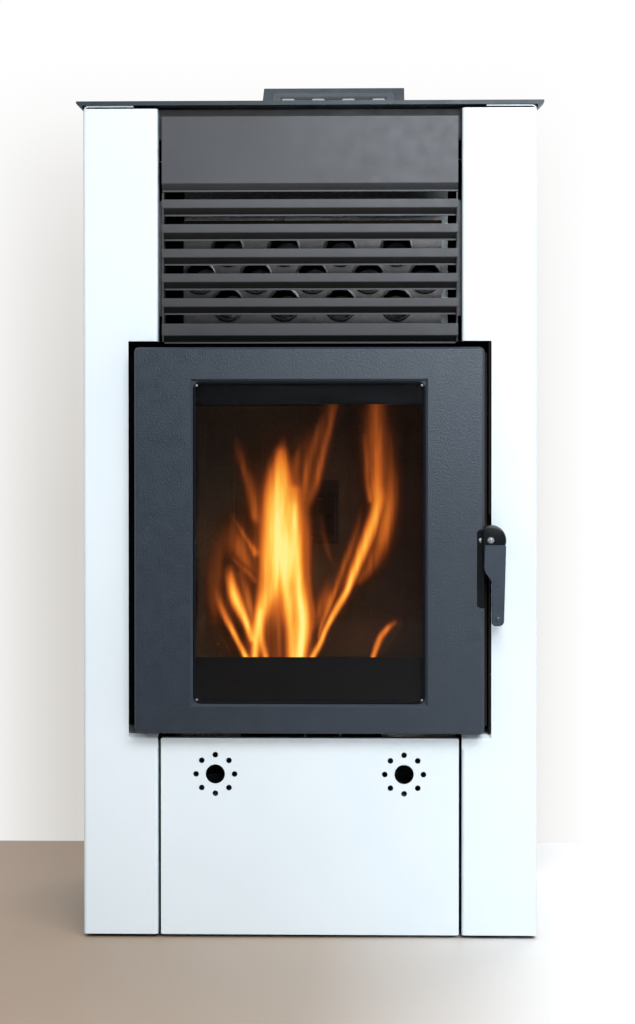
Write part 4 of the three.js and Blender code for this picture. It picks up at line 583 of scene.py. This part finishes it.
def around(rings, steps=6):
    """A closed mesh through rounded rectangles (left, right, bottom, top, corner radius, y)."""
    mesh = bpy.data.meshes.new("around")
    shape = bmesh.new()
    loops = []
    for left, right, bottom, top, radius, y in rings:
        loop = []
        corners = ((right, top), (left, top), (left, bottom), (right, bottom))
        for quarter, (x, z) in enumerate(corners):
            middle_x = x - math.copysign(radius, x - (left + right) / 2)
            middle_z = z - math.copysign(radius, z - (bottom + top) / 2)
            for i in range(steps + 1):
                angle = math.pi / 2 * (quarter + i / steps)
                place = point(
                    middle_x + radius * math.cos(angle), y, middle_z + radius * math.sin(angle)
                )
                loop.append(shape.verts.new(place))
        loops.append(loop)
    for loop, other in zip(loops, loops[1:] + loops[:1]):
        for i, vertex in enumerate(loop):
            after = (i + 1) % len(loop)
            shape.faces.new([vertex, loop[after], other[after], other[i]])
    bmesh.ops.recalc_face_normals(shape, faces=shape.faces)
    shape.to_mesh(mesh)
    shape.free()
    return mesh


# ---------------------------------------------------------------- floor

STAGE_REACH = 7
WALL_Y = 0.5355


def stage_plane(name, corners):
    """A square of floor or wall, which is no part of the object."""
    mesh = bpy.data.meshes.new(name)
    mesh.from_pydata(corners, [], [(0, 1, 2, 3)])
    plane = bpy.data.objects.new(name, mesh)
    scene.collection.objects.link(plane)
    return plane


floor = stage_plane("floor", [
    (-STAGE_REACH, -STAGE_REACH, 0),
    (STAGE_REACH, -STAGE_REACH, 0),
    (STAGE_REACH, WALL_Y, 0),
    (-STAGE_REACH, WALL_Y, 0),
])
# From left to right the floor turns from brown over beige to white: painted shade beside the stove
# on the left and painted light on the right.
FLOOR_LEFT, FLOOR_RIGHT = -0.35, 0.36
BROWN, BEIGE, PALE = (0.33, 0.225, 0.15), (0.45, 0.36, 0.285), (0.96, 0.96, 0.96)

ground = Surface("ground")
rightward = ground.spread(ground.axis("X"), low=0, high=1, start=FLOOR_LEFT, end=FLOOR_RIGHT)
ground.give(
    Base_Color=ground.ramp(rightward, [(0.0, BROWN), (0.5, BEIGE), (1.0, PALE)]),
    Roughness=0.5,
)
ground.bump(ground.noise(scale=120), depth=0.2)
floor.data.materials.append(ground.material)


# ---------------------------------------------------------------- wall

# The wall is white, with a soft beige painted shadow of the stove beside it. It shows only to the
# camera, mirrors and glass, and only from the front, so it takes no light from the stove and hides
# no back view.
WALL_SHADE = (0.665, 0.643, 0.61)
# How deep the shade is, as (metres, share) stops along the wall and up it.
SHADE_ACROSS = [
    (-0.58, 0), (-0.5, 0.34), (-0.43, 0.78), (-0.38, 1), (0.3, 0.5), (0.33, 0.24), (0.39, 0),
]
SHADE_UP = [(0.5, 1), (0.76, 0.8), (0.88, 0.68), (1.0, 0.46), (1.1, 0.12), (1.18, 0)]

wall = stage_plane("wall", [
    (-STAGE_REACH, WALL_Y, 0),
    (STAGE_REACH, WALL_Y, 0),
    (STAGE_REACH, WALL_Y, STAGE_REACH),
    (-STAGE_REACH, WALL_Y, STAGE_REACH),
])
plaster = Surface("plaster")


def shade_along(letter, stops):
    """How deep the shade is along one axis of the wall."""
    start, end = stops[0][0], stops[-1][0]
    greys = [((where - start) / (end - start), (share, share, share)) for where, share in stops]
    along = plaster.spread(plaster.axis(letter), low=0, high=1, start=start, end=end)
    return plaster.ramp(along, greys)


shade = plaster.combined("MULTIPLY", shade_along("X", SHADE_ACROSS), shade_along("Z", SHADE_UP))
backfacing = plaster.add("NewGeometry").outputs["Backfacing"]
plaster.give(
    Base_Color=(0, 0, 0),
    Roughness=1.0,
    Specular_IOR_Level=0.0,
    Emission_Color=plaster.mixed(shade, WHITE, WALL_SHADE),
    Emission_Strength=1.0,
    Alpha=plaster.combined("GREATER_THAN", plaster.seen(plaster.add("LightPath")), backfacing),
)
wall.data.materials.append(plaster.material)


# ---------------------------------------------------------------- tube ends behind the louvres

EXCHANGER_FRONT = 110
TUBE_PITCH_X, TUBE_PITCH_Z = 69.25, 33.6
TUBE_MIDDLE = 796.3
# Rows as (steps above the middle row, number of tubes).
TUBE_ROWS = ((1, 4), (0, 5), (-1, 4))
# Closed profiles as (radius, distance in front of the exchanger) points.
TUBE_RIM = [(17.6, -4), (21.0, -0.2), (21.0, 4.6), (20.5, 5.4), (18.5, 5.6), (17.6, 4.8)]
# A black lining deep in each bore stands in for the shade inside the tubes: painted shade.
TUBE_SHADE_LINING = [(17.2, -95), (17.8, -95), (17.8, 2), (17.2, 2.6)]

tube_centres = []
for row, count in TUBE_ROWS:
    for i in range(count):
        x = (i - (count - 1) / 2) * TUBE_PITCH_X
        tube_centres.append((x, EXCHANGER_FRONT, TUBE_MIDDLE + row * TUBE_PITCH_Z))
piece("tube_ends", lathe(tube_centres, TUBE_RIM), "tube_steel", "stove")
# The bores' black lining is painted shade.
piece("tube_bore_shade", lathe(tube_centres, TUBE_SHADE_LINING), "enamel", "stove")


# ---------------------------------------------------------------- fasteners

HANDLE_Z = 475
BRACKET_SCREW = (202.9, -20, HANDLE_Z)
PIVOT_SCREW = (214, -34, HANDLE_Z)
LEVER_RIVET = (222.1, -38.6, 382.5)
REAR_Y = 518.2
# The rear screws stand in a column on each side and in a row at the top and the bottom.
COLUMN_X = 255
COLUMN_FOOT, COLUMN_PITCH, COLUMN_COUNT = 40, 155, 7
ROW_XS = (-130, 0, 130)
ROW_ZS = (985, 24)

bracket_screw = lathe([BRACKET_SCREW], dome(radius=3.2, height=2.4), steps=32)
pivot_screw = lathe([PIVOT_SCREW], dome(radius=4.2, height=2.6), steps=32)
lever_rivet = lathe([LEVER_RIVET], dome(radius=3, height=0.7), steps=28)
piece("bracket_screw", bracket_screw, "zinc", "door")
piece("pivot_screw", pivot_screw, "pale_gloss", "handle")
piece("lever_rivet", lever_rivet, "lever_paint", "handle")

rear_screws = []
for side in (-1, 1):
    for i in range(COLUMN_COUNT):
        rear_screws.append((side * COLUMN_X, REAR_Y, COLUMN_FOOT + i * COLUMN_PITCH))
rear_screws += [(x, REAR_Y, z) for x in ROW_XS for z in ROW_ZS]
rear_dome = [(radius, -height) for radius, height in dome(radius=4.2, height=2.2)]
piece("rear_screws", lathe(rear_screws, rear_dome, steps=24), "zinc", "stove")


# ---------------------------------------------------------------- window print and trim

# Boxes are (left, right, bottom, top).
WINDOW = (-137.5, 137.5, 281, 662.5)
WINDOW_CORNER = 8
GLASS_FRONT, GLASS_BACK = -15.7, -11.7
PRINT_CLEAR = (-140.5, 140.5, 336, 636)
PRINT_CLEAR_CORNER = 3
PRINT_MARGIN, PRINT_CORNER = 9, 6
PRINT_FRONT, PRINT_BACK = GLASS_BACK + 0.05, GLASS_BACK + 0.25
BEAD_RADIUS = 1.7
BEAD_LAP = 0.3
BEAD_STEPS = 10
# Size and place of the pale drops that are painted highlights at the window's corners.
GLINT_DROP = dict(radius=1.7, height=1.3, sink=1.8)
GLINT_INSET_X, GLINT_INSET_Z = 4.2, 4.6
GLINT_Y = GLASS_FRONT - 2.6


def grown(box, by):
    """A box with each side moved outwards."""
    left, right, bottom, top = box
    return (left - by, right + by, bottom - by, top + by)


# A black print on the back of the glass leaves the fire in view between two broad bands.
window_print = around([
    (*grown(WINDOW, PRINT_MARGIN), PRINT_CORNER, PRINT_FRONT),
    (*grown(WINDOW, PRINT_MARGIN), PRINT_CORNER, PRINT_BACK),
    (*PRINT_CLEAR, PRINT_CLEAR_CORNER, PRINT_BACK),
    (*PRINT_CLEAR, PRINT_CLEAR_CORNER, PRINT_FRONT),
])
piece("window_print", window_print, "enamel", "door", smooth=False)

# A round bead seals the glass to the frame.
bead_rings = []
for i in range(BEAD_STEPS):
    angle = 2 * math.pi * i / BEAD_STEPS
    outward = BEAD_RADIUS * math.cos(angle) - BEAD_RADIUS + BEAD_LAP
    y = GLASS_FRONT - BEAD_RADIUS + BEAD_RADIUS * math.sin(angle)
    bead_rings.append((*grown(WINDOW, outward), WINDOW_CORNER + outward, y))
piece("window_bead", around(bead_rings, BEAD_STEPS), "enamel", "door")

# A small pale gloss drop at each of the window's corners stands in for the glint on the frame's
# rounded corner: a painted highlight.
left, right, bottom, top = WINDOW
glint_places = []
for x in (left + GLINT_INSET_X, right - GLINT_INSET_X):
    for z in (bottom + GLINT_INSET_Z, top - GLINT_INSET_Z):
        glint_places.append((x, GLINT_Y, z))
corner_glint_drops = lathe(glint_places, dome(**GLINT_DROP), steps=20)
piece("corner_glint_drops", corner_glint_drops, "pale_gloss", "door")


# ---------------------------------------------------------------- fire

# Each tongue is a run of (x, z, half width, heat) points, in millimetres on the plane it burns in.
TONGUES = {
    "core": [
        (-36, 604, 5, 0.08), (-37, 588, 7, 0.2), (-39, 572, 8, 0.42), (-41, 549, 9, 0.8),
        (-43, 522, 10, 1), (-43, 496, 11, 1), (-43, 470, 12, 1), (-45, 444, 12, 0.95),
        (-50, 417, 10, 0.85), (-58, 396, 8, 0.8), (-66, 373, 6, 0.8), (-70, 352, 5, 0.8),
        (-72, 325, 4, 0.8),
    ],
    "core_right": [
        (-24, 512, 5, 0.5), (-26, 491, 6, 0.8), (-28, 470, 7, 0.95), (-30, 449, 7, 0.95),
        (-31, 431, 6, 0.8), (-32, 412, 5, 0.66), (-29, 386, 6, 0.66), (-26, 360, 5, 0.62),
        (-24, 325, 5, 0.62),
    ],
    "bright_right": [
        (-22, 533, 6, 0.4), (-24, 509, 6, 0.6), (-21, 480, 5, 0.75), (-20, 457, 5, 0.95),
        (-18, 431, 6, 1), (-16, 404, 8, 1), (-12, 378, 8, 1), (-12, 357, 8, 0.95),
        (-16, 325, 6, 0.9),
    ],
    "right_edge": [
        (-9, 512, 5, 0.25), (-8, 480, 5, 0.4), (-8, 449, 5, 0.45), (-7, 417, 5, 0.5),
        (-3, 386, 4, 0.5), (-2, 360, 3, 0.35),
    ],
    "body": [
        (-40, 578, 9, 0.2), (-40, 554, 14, 0.34), (-38, 522, 19, 0.45), (-37, 491, 23, 0.5),
        (-37, 457, 25, 0.5), (-39, 428, 25, 0.46), (-42, 404, 25, 0.38), (-42, 378, 24, 0.3),
        (-42, 352, 23, 0.24), (-42, 325, 22, 0.22),
    ],
    "upper_a": [
        (31, 650, 5, 0.18), (23, 620, 5, 0.24), (16, 593, 5, 0.3), (10, 567, 6, 0.32),
        (4, 543, 6, 0.32), (-2, 525, 6, 0.26), (-8, 512, 5, 0.2),
    ],
    "upper_b": [
        (20, 640, 6, 0.12), (6, 605, 7, 0.2), (-4, 575, 6, 0.26), (-9, 549, 6, 0.32),
        (-14, 522, 6, 0.4), (-17, 496, 6, 0.42),
    ],
    "upper_c": [(-8, 604, 7, 0.08), (-18, 580, 8, 0.2), (-24, 559, 8, 0.34), (-25, 533, 7, 0.45)],
    "upper_left_a": [
        (-96, 601, 7, 0.06), (-93, 583, 7, 0.18), (-88, 564, 6, 0.22), (-81, 543, 6, 0.22),
        (-77, 522, 6, 0.22), (-74, 501, 5, 0.22),
    ],
    "upper_left_b": [
        (-76, 575, 9, 0.05), (-74, 549, 9, 0.12), (-71, 522, 8, 0.2), (-68, 496, 7, 0.3),
    ],
    "left_top": [(-99, 501, 4, 0.12), (-91, 488, 3, 0.24), (-81, 472, 3, 0.3), (-71, 456, 4, 0.3)],
    "left_glow": [
        (-97, 484, 13, 0.24), (-93, 466, 15, 0.34), (-86, 449, 12, 0.36), (-76, 434, 8, 0.34),
    ],
    "left_streak": [
        (-104, 453, 4, 0.14), (-92, 442, 4, 0.26), (-79, 431, 4, 0.32), (-71, 421, 4, 0.34),
    ],
    "left_a": [
        (-104, 436, 7, 0.22), (-101, 420, 6, 0.52), (-96, 402, 6, 0.8), (-88, 383, 5, 0.9),
        (-80, 365, 4, 0.85), (-75, 349, 3, 0.75),
    ],
    "left_side": [
        (-89, 428, 7, 0.28), (-83, 407, 7, 0.42), (-78, 386, 5, 0.55), (-74, 365, 4, 0.5),
    ],
    "left_b": [
        (-121, 415, 5, 0.14), (-115, 394, 5, 0.34), (-106, 373, 4, 0.5), (-96, 354, 3, 0.74),
        (-82, 325, 3, 0.85),
    ],
    "left_c": [
        (-116, 496, 7, 0.05), (-117, 465, 7, 0.15), (-118, 431, 6, 0.24), (-120, 397, 6, 0.22),
        (-121, 370, 6, 0.1),
    ],
    "left_d": [
        (-131, 465, 7, 0.05), (-130, 431, 7, 0.13), (-128, 397, 7, 0.16), (-126, 370, 6, 0.1),
    ],
    "inner_a": [(-63, 383, 3, 0.55), (-63, 352, 3, 0.6), (-58, 325, 3, 0.66)],
    "inner_b": [(-42, 397, 3, 0.5), (-42, 365, 3, 0.44), (-41, 325, 3, 0.4)],
    "pale": [(20, 423, 8, 0.14), (15, 402, 9, 0.3), (8, 383, 8, 0.32), (2, 366, 6, 0.22)],
    "tall": [
        (80, 652, 11, 0.26), (79, 620, 13, 0.32), (78, 593, 13, 0.37), (78, 567, 12, 0.42),
        (79, 541, 10, 0.5), (81, 522, 8, 0.6), (77, 501, 7, 0.68), (68, 475, 7, 0.76),
        (59, 452, 6, 0.85), (51, 431, 5, 0.9), (43, 410, 4, 0.8), (31, 389, 4, 0.75),
        (18, 365, 3, 0.72), (9, 344, 3, 0.76), (-1, 325, 3, 0.8),
    ],
    "tall_right": [
        (95, 604, 8, 0.16), (96, 570, 9, 0.26), (96, 538, 10, 0.36), (93, 510, 11, 0.46),
        (87, 482, 12, 0.44), (80, 457, 11, 0.38), (70, 436, 9, 0.32), (58, 420, 6, 0.2),
    ],
    "tall_left": [(64, 601, 4, 0.2), (67, 570, 4, 0.38), (68, 543, 4, 0.4), (73, 522, 5, 0.5)],
    "tall_low": [
        (59, 512, 4, 0.12), (55, 486, 5, 0.28), (47, 460, 6, 0.36), (36, 433, 5, 0.36),
        (29, 412, 4, 0.36), (21, 391, 4, 0.42), (13, 370, 3, 0.46), (9, 352, 3, 0.5),
    ],
    "tall_glow": [(56, 452, 10, 0.2), (44, 425, 9, 0.28), (32, 405, 7, 0.25)],
    "spark": [(10, 501, 3, 0.1), (14, 475, 4, 0.2), (19, 454, 4, 0.2), (26, 436, 4, 0.1)],
    "small": [(101, 370, 4, 0.32), (90, 360, 4, 0.5), (82, 348, 4, 0.56), (74, 325, 3, 0.68)],
    "low_right": [(40, 345, 22, 0.09), (75, 352, 24, 0.11), (105, 365, 20, 0.07)],
    "low_left": [(-118, 352, 12, 0.1), (-102, 338, 10, 0.14)],
}
REAR_TONGUES = [
    "upper_a", "upper_b", "upper_c", "upper_left_a", "upper_left_b", "tall_right",
    "tall_left", "tall_glow", "low_right", "low_left", "left_glow", "left_c", "left_d", "spark",
]
MIDDLE_TONGUES = ["right_edge", "left_streak", "left_side", "pale", "tall_low", "inner_b"]
FRONT_TONGUES = [key for key in TONGUES if key not in REAR_TONGUES + MIDDLE_TONGUES]

FIRE_Y = 125
FIRE_FOOT, FIRE_TOP = 316, 656
FIRE_SIDE = 150
# The fire fades in over this height above its foot, and is cut away where it's fainter than this.
FADE_IN = 10
FAINTEST = 0.02
GRID_STEP = 1.5
# How many of its half widths a tongue's glow reaches.
GLOW_REACH = 4
# A tongue's heat is a bright core in a faint wide halo, as shares that sum to 1.
CORE_SHARE, HALO_SHARE = 0.84, 0.16
CORE_FALL, HALO_FALL = 0.8, 1 / 8
HOTTEST = 0.995
# The sheets wave in depth: so many millimetres of width or height turn the wave by a radian.
WAVE_X, WAVE_Z = 23, 71
# From the coolest gas to the hottest, as (heat, colour).
FIRE_COLOURS = [
    (0.0, (0.02, 0.007, 0.003)),
    (0.14, (0.085, 0.02, 0.006)),
    (0.28, (0.26, 0.055, 0.011)),
    (0.44, (0.58, 0.13, 0.018)),
    (0.6, (0.86, 0.27, 0.03)),
    (0.75, (1.0, 0.46, 0.06)),
    (0.88, (1.0, 0.7, 0.12)),
    (1.0, (1.0, 0.86, 0.27)),
]


def smooth_run(points, steps=14):
    """A Catmull-Rom curve through the points, as an array of rows."""
    rows = np.array(points, float)
    rows = np.vstack([2 * rows[0] - rows[1], rows, 2 * rows[-1] - rows[-2]])
    run = []
    for a, b, c, d in zip(rows, rows[1:], rows[2:], rows[3:]):
        slope = c - a
        bend = 2 * a - 5 * b + 4 * c - d
        twist = 3 * b - a - 3 * c + d
        for t in np.linspace(0, 1, steps, endpoint=False):
            run.append(0.5 * (2 * b + slope * t + bend * t**2 + twist * t**3))
    run.append(rows[-2])
    return np.array(run)


def heat_of(x, z, runs):
    """The fire's heat at each place, from 0 to 1, where every tongue adds its soft glow."""
    cold = np.ones_like(x)
    for run in runs:
        best = np.zeros_like(x)
        for middle_x, middle_z, width, heat in run:
            far = ((x - middle_x) ** 2 + (z - middle_z) ** 2) / width**2
            core = CORE_SHARE * np.exp(-far * CORE_FALL)
            halo = HALO_SHARE * np.exp(-far * HALO_FALL)
            best = np.maximum(best, heat * (core + halo))
        cold *= 1 - np.clip(best, 0, HOTTEST)
    return 1 - cold


def flame_material():
    """Fire as glowing gas: the heat sets its colour and how far it hides what is behind."""
    gas = Surface("flame")
    heat = gas.add("Attribute")
    heat.attribute_name = "fire_heat"
    streaks = gas.spread(gas.noise(scale=95, stretch=(1, 1, 0.09)), low=0.78, high=1.14)
    glow = gas.combined("MULTIPLY", heat.outputs["Fac"], streaks)
    gas.give(
        Base_Color=(0, 0, 0),
        Roughness=1.0,
        Specular_IOR_Level=0.0,
        Emission_Color=gas.ramp(glow, FIRE_COLOURS),
        Emission_Strength=1.15,
        Alpha=gas.spread(glow, low=0, high=1, start=0.02, end=0.4),
    )
    return gas.material


def flame_sheet(name, names, depth, sway):
    """A sheet of fire over the tongues it carries, cut away where they don't reach."""
    runs = [smooth_run(TONGUES[key]) for key in names]
    xs, zs, half_widths, _ = np.vstack(runs).T
    reach = half_widths * GLOW_REACH
    left, right = max((xs - reach).min(), -FIRE_SIDE), min((xs + reach).max(), FIRE_SIDE)
    top = min((zs + reach).max(), FIRE_TOP)
    grid_x, grid_z = np.meshgrid(
        np.arange(left, right + GRID_STEP, GRID_STEP),
        np.arange(FIRE_FOOT, top + GRID_STEP, GRID_STEP),
    )
    grid_y = depth + sway * np.sin(grid_x / WAVE_X + grid_z / WAVE_Z)
    heat = heat_of(grid_x, grid_z, runs) * np.clip((grid_z - FIRE_FOOT) / FADE_IN, 0, 1)
    kept = heat > FAINTEST
    mesh = bpy.data.meshes.new(name)
    shape = bmesh.new()
    glow = shape.verts.layers.float.new("fire_heat")
    corners = {}
    rows, columns = grid_x.shape
    for i in range(rows - 1):
        for j in range(columns - 1):
            ring = ((i, j), (i, j + 1), (i + 1, j + 1), (i + 1, j))
            if not any(kept[place] for place in ring):
                continue
            for place in ring:
                if place not in corners:
                    corner = shape.verts.new(point(grid_x[place], grid_y[place], grid_z[place]))
                    corner[glow] = heat[place]
                    corners[place] = corner
            shape.faces.new([corners[place] for place in ring])
    shape.to_mesh(mesh)
    shape.free()
    mesh.polygons.foreach_set("use_smooth", [True] * len(mesh.polygons))
    piece(name, mesh, "flame", "stove", smooth=False)


materials["flame"] = flame_material()
flame_sheet("flames_rear", REAR_TONGUES, depth=FIRE_Y + 14, sway=4)
flame_sheet("flames_middle", MIDDLE_TONGUES, depth=FIRE_Y, sway=3)
flame_sheet("flames_front", FRONT_TONGUES, depth=FIRE_Y - 12, sway=3)
